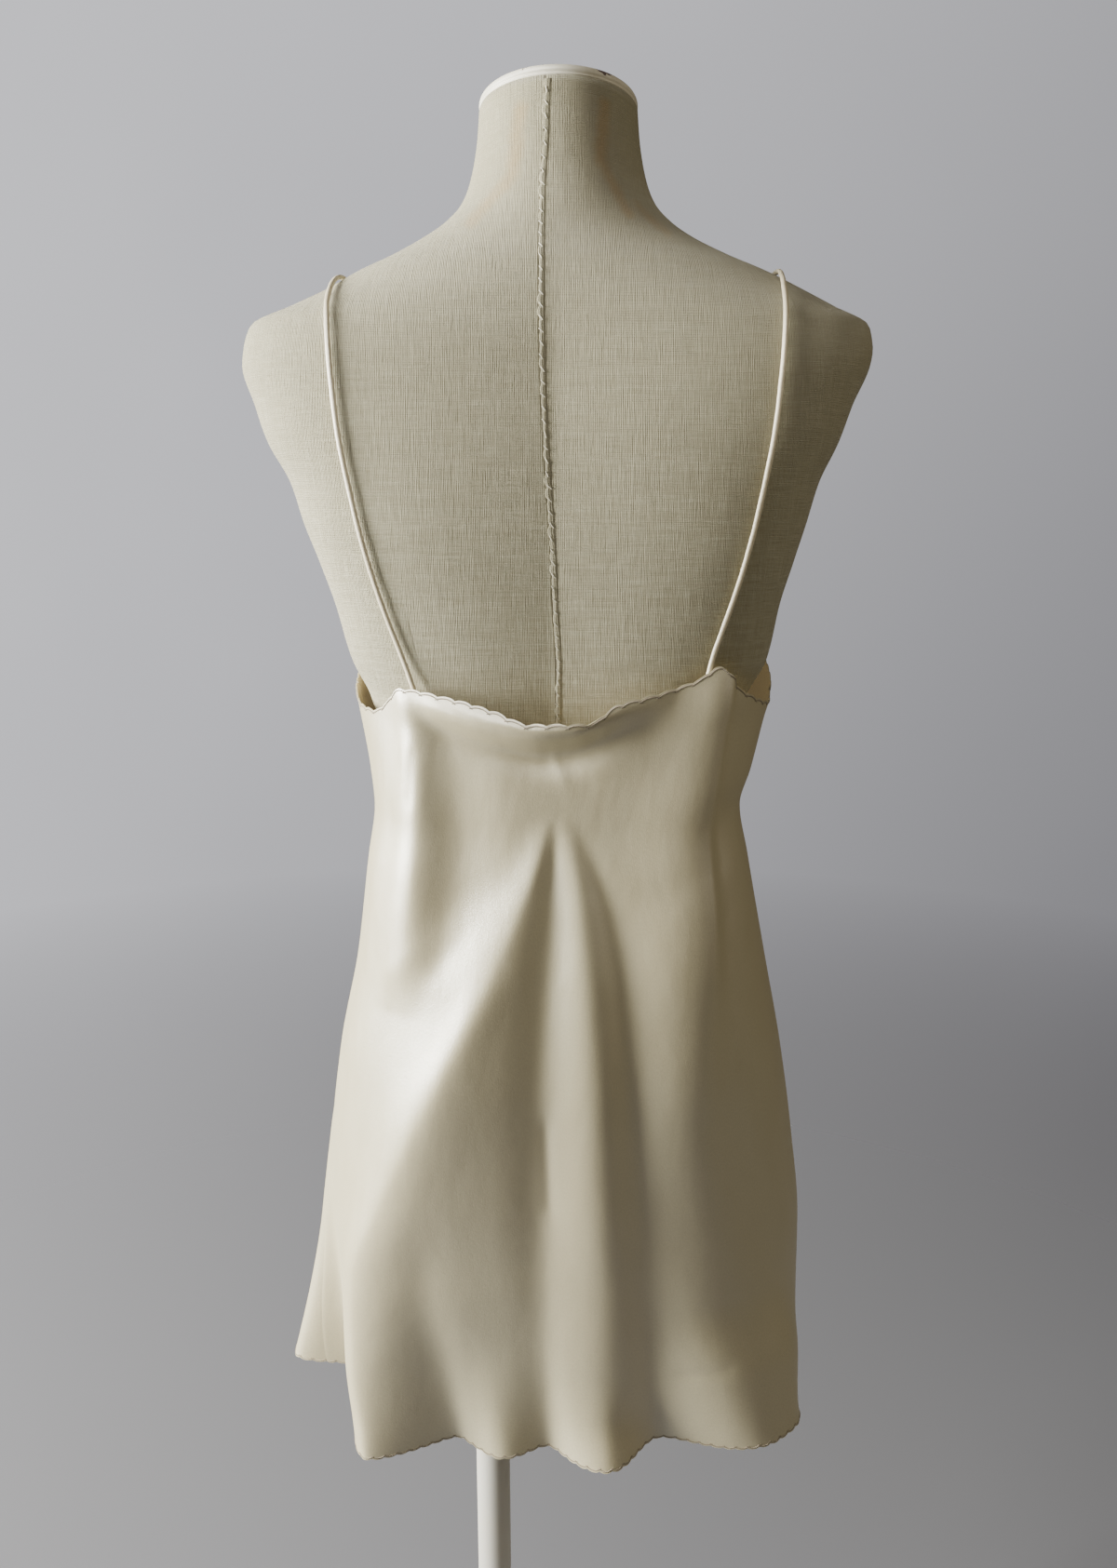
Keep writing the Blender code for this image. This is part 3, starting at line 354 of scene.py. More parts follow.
class DressShape:
    """The surface of the cloth over the form."""

    WALL = 0.0012
    TO_FORM = 0.0036
    HEM = 0.5525
    FRONT_SQUARENESS = 2.1
    REACH = 0.125
    SECTIONS = SmoothTable("height left right back front squareness", (
        (0.540, 0.1510, 0.1570, 0.0980, 0.1120, 2.10),
        (0.550, 0.1520, 0.1575, 0.0985, 0.1120, 2.10),
        (0.610, 0.1590, 0.1712, 0.1015, 0.1120, 2.10),
        (0.670, 0.1610, 0.1700, 0.1045, 0.1125, 2.15),
        (0.740, 0.1565, 0.1615, 0.1075, 0.1130, 2.30),
        (0.810, 0.1465, 0.1495, 0.1095, 0.1135, 2.60),
        (0.880, 0.1310, 0.1345, 0.1050, 0.1130, 3.00),
        (0.945, 0.1215, 0.1212, 0.0975, 0.1130, 3.30),
        (0.980, 0.1165, 0.1150, 0.0940, 0.1150, 3.30),
        (1.003, 0.1185, 0.1215, 0.0940, 0.1190, 3.20),
        (1.035, 0.1240, 0.1295, 0.0955, 0.1270, 2.90),
        (1.057, 0.1285, 0.1360, 0.0980, 0.1325, 2.70),
        (1.080, 0.1360, 0.1385, 0.1010, 0.1345, 2.40),
        (1.110, 0.1460, 0.1460, 0.1040, 0.1340, 2.10),
        (1.140, 0.1550, 0.1550, 0.1060, 0.1280, 2.10),
        (1.180, 0.1690, 0.1690, 0.1090, 0.1130, 2.10),
    ))
    COWL = SmoothTable("angle height rise", (
        (41.0, 1.0560, 0.0000),
        (55.0, 1.0490, 0.0070),
        (70.0, 1.0415, 0.0120),
        (84.0, 1.0380, 0.0140),
        (94.0, 1.0395, 0.0130),
        (102.0, 1.0430, 0.0095),
        (111.0, 1.0490, 0.0050),
        (126.0, 1.0560, 0.0000),
    ))
    COWL_SPREAD = 0.0100
    COWL_HOLLOW_DROP = 0.0180
    COWL_HOLLOW_SHARE = -0.35
    SEAMS = SmoothTable("height left right", (
        (0.540, 5.5, 176.0),
        (0.680, 6.5, 174.0),
        (0.775, 6.0, 168.0),
        (0.860, 6.0, 169.0),
        (0.980, 6.5, 171.0),
        (1.070, 7.0, 174.0),
    ))
    STRAP_ENDS = (
        (45.5, 1.0590),
        (134.5, 1.0610),
        (236.0, 1.1590),
        (304.0, 1.1590),
    )
    STRAP_END_ROOM = 0.0036
    STRAP_END_SPREAD = 7.0
    STRAP_END_TALL = 0.022

    def __init__(
        self, form: FormShape, folds: tuple[Fold, ...], creases: tuple[Crease, ...]
    ) -> None:
        """Keeps what shapes the cloth.

        Args:
            form: The form under the cloth.
            folds: The folds that run down the cloth.
            creases: The short dents and ridges.
        """
        self.form = form
        self.folds = folds
        self.creases = creases

    def cowl_rise(self, angle: Array, height: Array) -> Array:
        """The roll under the back neckline and the hollow below it.

        Args:
            angle: Angles round the body, in degrees.
            height: Heights over the floor.

        Returns:
            The push at each place, in metres.
        """
        turned = angle % 360.0
        above = height - self.COWL.at("height", turned)
        roll = bell(above, self.COWL_SPREAD)
        hollow = bell(above + self.COWL_HOLLOW_DROP, self.COWL_SPREAD)
        return self.COWL.at("rise", turned) * (roll + self.COWL_HOLLOW_SHARE * hollow)

    def radius(self, angle: Array, height: Array) -> Array:
        """The distance of the cloth's inner face from the body's middle.

        Args:
            angle: Angles round the body, in degrees.
            height: Heights over the floor.

        Returns:
            The distance at each place, always clear of the form.
        """
        radius = oval_radius(self.SECTIONS, self.FRONT_SQUARENESS, angle, height)
        radius = radius + self.cowl_rise(angle, height)
        for fold in self.folds:
            radius = radius + fold.rise(angle, height)
        for crease in self.creases:
            radius = radius + crease.push(angle, height, self.REACH)
        clearance = self.TO_FORM
        for at, tall_at in self.STRAP_ENDS:
            across = angle_apart(angle, at) / self.STRAP_END_SPREAD
            along = (height - tall_at) / self.STRAP_END_TALL
            clearance = clearance + self.STRAP_END_ROOM * np.exp(-(across**4) - along**4)
        return np.maximum(radius, self.form.radius(angle, height) + clearance)

    def point(self, angle: Array, height: Array) -> Array:
        """Points of the cloth's inner face in the body's own frame.

        Args:
            angle: Angles round the body, in degrees.
            height: Heights over the floor.

        Returns:
            An array of points, one for each place.
        """
        x, y = turned_out(self.radius(angle, height), angle)
        return np.stack([x, y, height + 0.0 * x], axis=-1)


FOLDS = {
    "back_left_cone": (1.65, (
        (0.985, 87.0, 0.000, 4.0, 4.0),
        (0.955, 82.5, 0.0035, 7.0, 5.0),
        (0.927, 77.5, 0.0075, 11.0, 10.0),
        (0.858, 65.0, 0.0135, 15.0, 17.0),
        (0.790, 53.0, 0.019, 16.0, 20.0),
        (0.735, 44.0, 0.022, 15.5, 23.0),
        (0.683, 37.5, 0.026, 14.0, 22.0),
        (0.616, 37.0, 0.033, 13.5, 14.0),
        (0.550, 40.0, 0.043, 14.2, 7.5),
    )),
    "back_left_crest": (2.0, (
        (0.900, 72.0, 0.000, 5.0, 5.0),
        (0.858, 65.0, 0.002, 5.0, 5.0),
        (0.790, 53.0, 0.002, 8.0, 9.0),
        (0.735, 45.0, 0.003, 8.0, 10.0),
        (0.683, 39.0, 0.004, 7.0, 10.0),
        (0.630, 37.0, 0.003, 7.0, 10.0),
        (0.575, 38.0, 0.000, 6.0, 8.0),
    )),
    "back_centre_trough": (2.0, (
        (0.985, 88.5, 0.000, 2.5, 2.5),
        (0.955, 87.5, -0.0015, 3.5, 3.0),
        (0.927, 86.5, -0.0020, 5.0, 4.5),
        (0.862, 85.0, -0.0028, 6.5, 6.0),
        (0.740, 84.0, -0.0040, 8.0, 7.5),
        (0.650, 84.0, -0.003, 9.0, 7.0),
        (0.550, 87.0, -0.006, 7.0, 6.5),
    )),
    "back_centre_cone": (2.0, (
        (0.985, 92.0, 0.000, 3.0, 3.0),
        (0.955, 95.5, 0.0025, 4.5, 4.5),
        (0.927, 97.5, 0.0050, 6.0, 7.0),
        (0.862, 99.5, 0.0082, 9.0, 9.0),
        (0.740, 102.5, 0.0082, 11.0, 10.0),
        (0.670, 105.0, 0.0058, 11.5, 11.0),
        (0.610, 105.5, 0.0058, 12.5, 11.5),
        (0.580, 105.0, 0.0095, 13.5, 10.5),
        (0.550, 105.5, 0.0225, 13.5, 12.0),
    )),
    "back_right_trough": (2.0, (
        (0.973, 99.0, 0.000, 3.0, 3.0),
        (0.927, 107.0, -0.0018, 5.5, 5.5),
        (0.860, 112.0, -0.0028, 7.0, 7.5),
        (0.800, 114.0, -0.0042, 7.0, 8.0),
        (0.700, 121.0, -0.0035, 9.0, 10.0),
        (0.600, 127.0, -0.004, 8.0, 8.0),
        (0.550, 130.0, -0.006, 8.0, 8.0),
    )),
    "back_right_flute": (3.0, (
        (0.950, 137.0, 0.000, 9.0, 9.0),
        (0.920, 130.0, 0.002, 12.0, 8.0),
        (0.850, 126.0, 0.004, 14.0, 9.0),
        (0.790, 126.0, 0.005, 14.0, 11.0),
        (0.720, 131.0, 0.004, 17.0, 14.0),
        (0.654, 141.0, 0.006, 18.0, 16.0),
        (0.600, 149.0, 0.0215, 19.0, 17.0),
        (0.550, 151.5, 0.040, 17.0, 12.0),
    )),
    "right_strap_ridge": (2.0, (
        (1.090, 140.0, 0.003, 5.0, 3.0),
        (1.065, 138.5, 0.007, 7.0, 3.0),
        (1.040, 137.0, 0.009, 9.5, 3.2),
        (0.994, 135.0, 0.009, 12.5, 3.8),
        (0.964, 134.0, 0.008, 14.0, 4.2),
        (0.900, 132.5, 0.007, 16.0, 5.0),
        (0.840, 131.0, 0.003, 14.0, 7.0),
        (0.790, 130.0, 0.000, 12.0, 9.0),
    )),
    "left_strap_ridge": (2.0, (
        (1.062, 42.0, 0.002, 4.0, 4.0),
        (1.024, 46.5, 0.006, 6.0, 4.0),
        (0.965, 46.5, 0.007, 8.0, 5.0),
        (0.908, 45.5, 0.005, 8.0, 6.0),
        (0.860, 42.0, 0.000, 7.0, 7.0),
    )),
    "left_strap_trough": (2.0, (
        (1.045, 51.0, 0.000, 4.0, 4.0),
        (1.012, 57.5, -0.0020, 5.0, 8.0),
        (0.955, 58.0, -0.0032, 6.0, 10.0),
        (0.913, 55.5, -0.0026, 6.0, 8.0),
        (0.880, 53.0, 0.000, 5.0, 6.0),
    )),
    "back_small_flute": (2.0, (
        (0.660, 64.0, 0.000, 6.0, 6.0),
        (0.620, 66.0, 0.0012, 7.0, 7.0),
        (0.585, 67.5, 0.0045, 8.5, 8.0),
        (0.550, 70.5, 0.0110, 9.5, 8.5),
    )),
    "back_left_trough": (2.0, (
        (0.740, 55.0, 0.000, 4.0, 4.0),
        (0.686, 51.0, -0.002, 5.0, 5.0),
        (0.620, 50.0, -0.006, 5.0, 6.0),
        (0.550, 51.5, -0.007, 5.0, 5.0),
    )),
    "left_side_flute": (3.6, (
        (0.760, 4.0, 0.000, 8.0, 6.0),
        (0.680, 3.0, 0.006, 8.0, 5.5),
        (0.610, 2.5, 0.021, 8.0, 4.8),
        (0.550, 2.0, 0.043, 8.0, 4.0),
    )),
    "left_side_trough": (2.0, (
        (0.740, 16.0, 0.000, 8.0, 8.0),
        (0.640, 13.0, -0.004, 7.0, 7.0),
        (0.550, 12.0, -0.008, 6.5, 6.5),
    )),
    "front_right_side_flute": (3.0, (
        (0.800, 206.0, 0.000, 10.0, 10.0),
        (0.670, 205.0, 0.014, 10.0, 10.0),
        (0.550, 203.0, 0.034, 10.0, 10.0),
    )),
    "front_right_flute": (2.6, (
        (0.950, 240.0, 0.000, 8.0, 8.0),
        (0.780, 234.0, 0.008, 9.0, 9.0),
        (0.550, 231.0, 0.027, 9.0, 9.0),
    )),
    "front_centre_right_flute": (2.4, (
        (0.900, 262.0, 0.000, 7.0, 7.0),
        (0.720, 258.0, 0.007, 8.0, 8.0),
        (0.550, 257.0, 0.020, 8.0, 8.0),
    )),
    "front_centre_left_flute": (2.6, (
        (0.960, 280.0, 0.000, 7.0, 7.0),
        (0.760, 284.0, 0.009, 9.0, 9.0),
        (0.550, 287.0, 0.026, 10.0, 10.0),
    )),
    "front_left_flute": (3.0, (
        (0.930, 308.0, 0.000, 8.0, 8.0),
        (0.740, 314.0, 0.010, 9.0, 9.0),
        (0.550, 317.0, 0.032, 10.0, 10.0),
    )),
    "front_right_strap_ridge": (2.0, (
        (1.160, 236.0, 0.003, 6.0, 6.0),
        (1.060, 236.0, 0.004, 9.0, 9.0),
        (0.960, 238.0, 0.005, 9.0, 9.0),
        (0.880, 240.0, 0.000, 9.0, 9.0),
    )),
    "front_left_strap_ridge": (2.0, (
        (1.160, 304.0, 0.003, 6.0, 6.0),
        (1.060, 304.0, 0.004, 9.0, 9.0),
        (0.970, 303.0, 0.005, 9.0, 9.0),
        (0.900, 301.0, 0.000, 9.0, 9.0),
    )),
}

CREASES = (
    Crease((46.5, 1.019), (45.0, 0.996), -0.0007, 0.0040),
    Crease((43.0, 0.889), (53.5, 0.911), 0.0006, 0.0080),
    Crease((94.5, 1.013), (100.0, 1.007), -0.0003, 0.0045),
    Crease((89.5, 1.016), (92.0, 1.007), 0.0003, 0.0040),
    Crease((86.0, 0.790), (87.0, 0.742), -0.0012, 0.0050),
    Crease((131.5, 0.607), (139.0, 0.610), -0.0012, 0.0028),
)

# ---------------------------------------------------------------- meshes


def place_object(name: str, data: bpy.types.ID) -> bpy.types.Object:
    """Puts new data into the scene.

    Args:
        name: The object's name.
        data: Its mesh, curve, light or camera.

    Returns:
        The new object.
    """
    piece = bpy.data.objects.new(name, data)
    bpy.context.scene.collection.objects.link(piece)
    return piece


def plain_object(name: str, points: Array, faces: list[tuple[int, ...]]) -> bpy.types.Object:
    """Links a smooth mesh object made from points in the body's frame.

    Args:
        name: The piece's name.
        points: The points, with X from the body's middle.
        faces: The faces' point numbers.

    Returns:
        The new object.
    """
    mesh = bpy.data.meshes.new(name)
    moved = np.asarray(points, float) + np.array([BODY_X, 0.0, 0.0])
    mesh.from_pydata(moved.tolist(), [], faces)
    mesh.validate()
    mesh.shade_smooth()
    return place_object(name, mesh)


def grown(piece: bpy.types.Object) -> bpy.types.Mesh:
    """A plain mesh of a piece as its modifiers leave it."""
    graph = bpy.context.evaluated_depsgraph_get()
    return bpy.data.meshes.new_from_object(piece.evaluated_get(graph), depsgraph=graph)


def mesh_points(piece: bpy.types.Object) -> Array:
    """The points of a piece's mesh."""
    return np.array([v.co for v in piece.data.vertices])


def add_uv(mesh: bpy.types.Mesh, places: Array) -> None:
    """Gives a mesh a UV map in metres of cloth.

    Args:
        mesh: The mesh.
        places: The place of each point on the flat cloth.
    """
    layer = mesh.uv_layers.new(name="cloth")
    corners = np.empty(len(mesh.loops), np.int32)
    mesh.loops.foreach_get("vertex_index", corners)
    layer.data.foreach_set("uv", np.asarray(places, np.float32)[corners].ravel())


def add_weight(mesh: bpy.types.Mesh, name: str, values: Array) -> None:
    """Gives a mesh a named number, one value for each point."""
    layer = mesh.attributes.new(name, "FLOAT", "POINT")
    layer.data.foreach_set("value", np.asarray(values, np.float32).ravel())


def grid_faces(columns: int, rows: int, closed: bool) -> list[tuple[int, ...]]:
    """The quads of a grid whose points run along its rows.

    Args:
        columns: Points in each row.
        rows: Number of rows.
        closed: Whether each row joins its own start.

    Returns:
        The quads, facing outwards for rows that run anticlockwise and upwards.
    """
    wide = columns if closed else columns - 1
    a = np.arange(rows - 1)[:, None] * columns + np.arange(wide)[None, :]
    b = np.arange(rows - 1)[:, None] * columns + (np.arange(wide)[None, :] + 1) % columns
    return np.stack([a, b, b + columns, a + columns], axis=-1).reshape(-1, 4).tolist()


def closed_faces(columns: int, rows: int) -> list[tuple[int, ...]]:
    """The quads of a closed grid and one face over each of its ends.

    Args:
        columns: Points in each row.
        rows: Number of rows.

    Returns:
        The faces, facing outwards.
    """
    last = columns * (rows - 1)
    ends = [list(range(columns))[::-1], list(range(last, last + columns))]
    return grid_faces(columns, rows, True) + ends


def zip_faces(low: list[tuple[float, int]], high: list[tuple[float, int]]) -> list[tuple[int, ...]]:
    """Triangles for the strip between two rows of (fraction, point number).

    Args:
        low: The lower row.
        high: The upper row.

    Returns:
        The triangles, facing outwards.
    """
    faces: list[tuple[int, ...]] = []
    i = 0
    j = 0
    while i < len(low) - 1 or j < len(high) - 1:
        step_low = j == len(high) - 1
        if i < len(low) - 1 and not step_low:
            step_low = low[i + 1][0] <= high[j + 1][0] + 1e-9
        if step_low:
            faces.append((low[i][1], low[i + 1][1], high[j][1]))
            i += 1
        else:
            faces.append((low[i][1], high[j + 1][1], high[j][1]))
            j += 1
    return faces


def tube_object(
    name: str, path: Array, across: Array, out: Array, wide: Array, deep: Array, sides: int
) -> bpy.types.Object:
    """A closed tube with an oval section along a path.

    Args:
        name: The piece's name.
        path: The middle line's points.
        across: Unit vectors across the tube, along its surface.
        out: Unit vectors away from the surface.
        wide: Half widths along the path.
        deep: Half depths along the path.
        sides: Points round the tube.

    Returns:
        The tube, with a UV map in metres.
    """
    turns = np.radians(np.arange(sides) * 360.0 / sides)
    rings = (path[:, None, :]
             + np.cos(turns)[None, :, None] * (wide[:, None] * across)[:, None, :]
             + np.sin(turns)[None, :, None] * (deep[:, None] * out)[:, None, :])
    piece = plain_object(name, rings.reshape(-1, 3), closed_faces(sides, len(path)))
    girth = math.pi * (float(wide.mean()) + float(deep.mean()))
    places = np.stack(np.meshgrid(np.arange(sides) / sides * girth, length_along(path)), axis=-1)
    add_uv(piece.data, places.reshape(-1, 2))
    return piece


def turned_object(name: str, profile: list[tuple[float, float]], sides: int) -> bpy.types.Object:
    """A closed solid of revolution round the pole's axis.

    Args:
        name: The piece's name.
        profile: (radius, height) points from the top's middle down to the underside's middle.
        sides: Points round the solid.

    Returns:
        The new object.
    """
    turns = np.radians(np.arange(sides) * 360.0 / sides)
    inner = profile[-2:0:-1]
    rings = [np.stack([r * np.cos(turns), r * np.sin(turns), np.full(sides, h)], axis=-1)
             for r, h in inner]
    ends = np.array([[0.0, 0.0, profile[-1][1]], [0.0, 0.0, profile[0][1]]])
    points = np.concatenate(rings + [ends])
    low = len(points) - 2
    faces = grid_faces(sides, len(inner), True)
    last = (len(inner) - 1) * sides
    for k in range(sides):
        faces.append((low, (k + 1) % sides, k))
        faces.append((low + 1, last + k, last + (k + 1) % sides))
    return plain_object(name, points - np.array([BODY_X, 0.0, 0.0]), faces)


def rounded(
    radius: float, height: float, size: float, start: float, end: float, steps: int
) -> list[tuple[float, float]]:
    """Points of a rounded edge, where 0 degrees is outwards and 90 upwards."""
    turns = np.radians(np.linspace(start, end, steps))
    return [(radius + size * math.cos(t), height + size * math.sin(t)) for t in turns]


# ---------------------------------------------------------------- node trees


class NodeSheet:
    """A node tree that is filled one node at a time."""

    def __init__(self, tree: bpy.types.NodeTree) -> None:
        """Keeps the tree to fill."""
        self.tree = tree

    def feed(self, node: bpy.types.Node, inputs: Inputs) -> None:
        """Sets a node's inputs.

        Args:
            node: The node.
            inputs: Values or output sockets, by the input's name or number.
        """
        for key, value in inputs.items():
            if isinstance(value, bpy.types.NodeSocket):
                self.tree.links.new(value, node.inputs[key])
            else:
                node.inputs[key].default_value = value

    def add(self, kind: str, inputs: Inputs | None = None, **settings: object) -> bpy.types.Node:
        """Adds one node.

        Args:
            kind: The node's type.
            inputs: Values or output sockets for its inputs, by name or number.
            **settings: The node's own properties.

        Returns:
            The new node.
        """
        node = self.tree.nodes.new(kind)
        for name, value in settings.items():
            setattr(node, name, value)
        self.feed(node, inputs or {})
        return node

    def math(self, operation: str, *values: object) -> Socket:
        """Adds one Math node over numbers or sockets."""
        return self.add("ShaderNodeMath", dict(enumerate(values)), operation=operation).outputs[0]

    def noise(
        self, vector: Socket, scale: float, detail: float = 2.0, roughness: float = 0.5
    ) -> Socket:
        """Adds a noise pattern, read at a vector, with finer layers of some roughness."""
        values = {"Vector": vector, "Scale": scale, "Detail": detail, "Roughness": roughness}
        return self.add("ShaderNodeTexNoise", values).outputs["Fac"]

    def scaled(self, vector: Socket, scale: tuple[float, float, float]) -> Socket:
        """Stretches coordinates by a factor along each axis."""
        return self.add("ShaderNodeMapping", {"Vector": vector, "Scale": scale}).outputs[0]

    def fit(
        self, value: Socket, low: float, high: float, to_low: float = 0.0, to_high: float = 1.0
    ) -> Socket:
        """Maps one range to another, without going past its ends.

        Args:
            value: The value's socket.
            low: The first range's start.
            high: Its end.
            to_low: The second range's start.
            to_high: Its end.

        Returns:
            The mapped value.
        """
        ends = {"Value": value, "From Min": low, "From Max": high,
                "To Min": to_low, "To Max": to_high}
        return self.add("ShaderNodeMapRange", ends).outputs[0]

    def blend(self, share: Socket | float, first: object, second: object) -> Socket:
        """Mixes two colours.

        Args:
            share: How much of the second.
            first: A colour or its socket.
            second: A colour or its socket.

        Returns:
            The mixed colour.
        """
        shades = [(*value, 1.0) if isinstance(value, tuple) else value
                  for value in (first, second)]
        node = self.add("ShaderNodeMix", {0: share}, data_type="RGBA")
        self.feed(node, {6: shades[0], 7: shades[1]})
        return node.outputs[2]

    def bump(
        self, strength: float, distance: float, height: Socket, normal: Socket | None = None
    ) -> Socket:
        """Turns a height into a normal.

        Args:
            strength: How strongly it shows.
            distance: How deep a height of 1 is.
            height: The height's socket.
            normal: The normal it is laid on, if another bump comes first.

        Returns:
            The normal's socket.
        """
        under = {} if normal is None else {"Normal": normal}
        values = {"Strength": strength, "Distance": distance, "Height": height, **under}
        return self.add("ShaderNodeBump", values).outputs[0]

    def woven(
        self, weave: bpy.types.NodeTree, pitch: float, unevenness: float
    ) -> tuple[Socket, bpy.types.Node]:
        """Reads the woven threads over the flat cloth.

        Args:
            weave: The threads' group.
            pitch: Threads per metre.
            unevenness: How uneven they are.

        Returns:
            The flat cloth's coordinates and the group's node.
        """
        cloth = self.add("ShaderNodeUVMap", uv_map="cloth").outputs[0]
        values = {"Cloth": cloth, "Threads Per Metre": pitch, "Unevenness": unevenness}
        return cloth, self.add("ShaderNodeGroup", values, node_tree=weave)


def open_group(
    kind: str, name: str, inputs: dict[str, str], outputs: dict[str, str]
) -> tuple[NodeSheet, Sockets]:
    """Starts a node group.

    Args:
        kind: The tree's type.
        name: The group's name.
        inputs: Each input's socket type, without its prefix, by its name.
        outputs: Each output's socket type by its name.

    Returns:
        The sheet to fill, and the group's inputs by name.
    """
    tree = bpy.data.node_groups.new(name, kind)
    for way, sockets in (("INPUT", inputs), ("OUTPUT", outputs)):
        for label, socket_type in sockets.items():
            tree.interface.new_socket(label, in_out=way, socket_type="NodeSocket" + socket_type)
    sheet = NodeSheet(tree)
    return sheet, sheet.add("NodeGroupInput").outputs


def woven_threads() -> bpy.types.NodeTree:
    """The group for a plain weave with uneven threads.

    Returns:
        A group with the cloth's place, thread pitch and unevenness, and its relief and shade.
    """
    sheet, given = open_group(
        "ShaderNodeTree", "woven_threads",
        {"Cloth": "Vector", "Threads Per Metre": "Float", "Unevenness": "Float"},
        {"Relief": "Float", "Shade": "Float"},
    )
    place = sheet.add("ShaderNodeSeparateXYZ", {0: given["Cloth"]})
    turn = sheet.math("MULTIPLY", given["Threads Per Metre"], math.pi)
    waves = [sheet.math("SINE", sheet.math("MULTIPLY", place.outputs[axis], turn))
             for axis in (0, 1)]
    knit = sheet.math("MULTIPLY", *waves)
    runs = [sheet.noise(sheet.scaled(given["Cloth"], stretch), 1.0, 2.0, 0.6)
            for stretch in ((1500.0, 60.0, 1.0), (60.0, 1500.0, 1.0))]
    slub = sheet.math("ADD", *[sheet.fit(run, 0.35, 0.75) for run in runs])
    uneven = sheet.math("MULTIPLY", slub, given["Unevenness"])
    relief = sheet.math("ADD", sheet.math("ABSOLUTE", knit), uneven)
    sheet.add("NodeGroupOutput", {"Relief": relief, "Shade": slub})
    return sheet.tree


def worn_paint() -> bpy.types.NodeTree:
    """The group for old brushed paint with chips where it was knocked.

    Returns:
        A group with the place and knocks, and its chips, grime and relief.
    """
    sheet, given = open_group(
        "ShaderNodeTree", "worn_paint",
        {"Place": "Vector", "Knocks": "Float"},
        {"Chips": "Float", "Grime": "Float", "Relief": "Float"},
    )
    edge = sheet.noise(given["Place"], 190.0, 3.0, 0.6)
    chips = sheet.fit(sheet.math("ADD", edge, given["Knocks"]), 0.86, 0.89)
    grime = sheet.fit(sheet.noise(given["Place"], 34.0, 4.0, 0.65), 0.42, 0.80)
    brushed = sheet.noise(sheet.scaled(given["Place"], (90.0, 90.0, 700.0)), 1.0, 2.0)
    relief = sheet.math("SUBTRACT", sheet.math("MULTIPLY", brushed, 0.25), chips)
    sheet.add("NodeGroupOutput", {"Chips": chips, "Grime": grime, "Relief": relief})
    return sheet.tree


def new_material(name: str) -> tuple[bpy.types.Material, NodeSheet, bpy.types.Node]:
    """Starts a material.

    Args:
        name: The material's name.

    Returns:
        The material, its sheet and its shader.
    """
    material = bpy.data.materials.new(name)
    material.use_nodes = True
    sheet = NodeSheet(material.node_tree)
    return material, sheet, material.node_tree.nodes["Principled BSDF"]


@dataclass(frozen=True)
class Satin:
    """Silk satin: a smooth bright face, or its dull and yellower back, which may carry a painted
    glow.
    """

    name: str
    colour: Colour
    deep_colour: Colour
    roughness: float
    index: float
    painted_glow: float
    weave: bpy.types.NodeTree
    threads: float = 2600.0
    unevenness: float = 0.35
    clouds: Place = (9.0, 6.0, 1.0)
    patches: Place = (60.0, 24.0, 1.0)
    crumples: Place = (52.0, 40.0, 1.0)
    grain: float = 620.0
    shine: Colour = (1.0, 1.0, 0.97)

    def material(self) -> bpy.types.Material:
        """Builds the satin's material.

        Returns:
            The material.
        """
        made, sheet, shader = new_material(self.name)
        cloth, threads = sheet.woven(self.weave, self.threads, self.unevenness)
        clouds = sheet.fit(sheet.noise(sheet.scaled(cloth, self.clouds), 1.0, 3.0), 0.35, 0.70)
        colour = sheet.blend(sheet.math("MULTIPLY", clouds, 0.6), self.colour, self.deep_colour)
        grain = sheet.noise(cloth, self.grain, 3.0, 0.7)
        darker = tuple(0.8 * c for c in self.deep_colour)
        colour = sheet.blend(sheet.fit(grain, 0.35, 0.65, 0.0, 0.5), colour, darker)
        patches = sheet.noise(sheet.scaled(cloth, self.patches), 1.0, 2.0)
        rough = sheet.fit(patches, 0.3, 0.7, self.roughness - 0.02, self.roughness + 0.02)
        # painted glow: the cloth emits its own deeper colour, standing in for light that shines
        # through thin satin
        if self.painted_glow > 0.0:
            sheet.feed(shader, {
                "Emission Color": (*self.deep_colour, 1.0), "Emission Strength": self.painted_glow})
        crumple = sheet.noise(sheet.scaled(cloth, self.crumples), 1.0, 2.0, 0.40)
        fine = sheet.bump(0.12, 0.0002, threads.outputs["Relief"])
        grainy = sheet.bump(0.55, 0.0002, grain, fine)
        sheet.feed(shader, {
            "Base Color": colour, "Roughness": rough, "Sheen Weight": 0.05, "Sheen Roughness": 0.35,
            "IOR": self.index, "Specular Tint": (*self.shine, 1.0),
            "Normal": sheet.bump(0.27, 0.0011, crumple, grainy)})
        return made


@dataclass(frozen=True)
class CordThread:
    """Dense silk satin stitch over a scalloped edge."""

    name: str
    colour: Colour
    wrap: float = 0.00055

    def material(self) -> bpy.types.Material:
        """Builds the stitched edge's material.

        Returns:
            The material.
        """
        made, sheet, shader = new_material(self.name)
        place = sheet.add("ShaderNodeTexCoord").outputs["Object"]
        along = sheet.add("ShaderNodeAttribute", attribute_name="along").outputs["Fac"]
        wraps = sheet.math("SINE", sheet.math("MULTIPLY", along, 2.0 * math.pi / self.wrap))
        tint = sheet.fit(sheet.noise(place, 260.0, 2.0), 0.3, 0.7)
        sheet.feed(shader, {
            "Base Color": sheet.blend(tint, self.colour, tuple(0.80 * c for c in self.colour)),
            "Roughness": 0.48, "Sheen Weight": 0.25, "Normal": sheet.bump(0.5, 0.0003, wraps)})
        return made


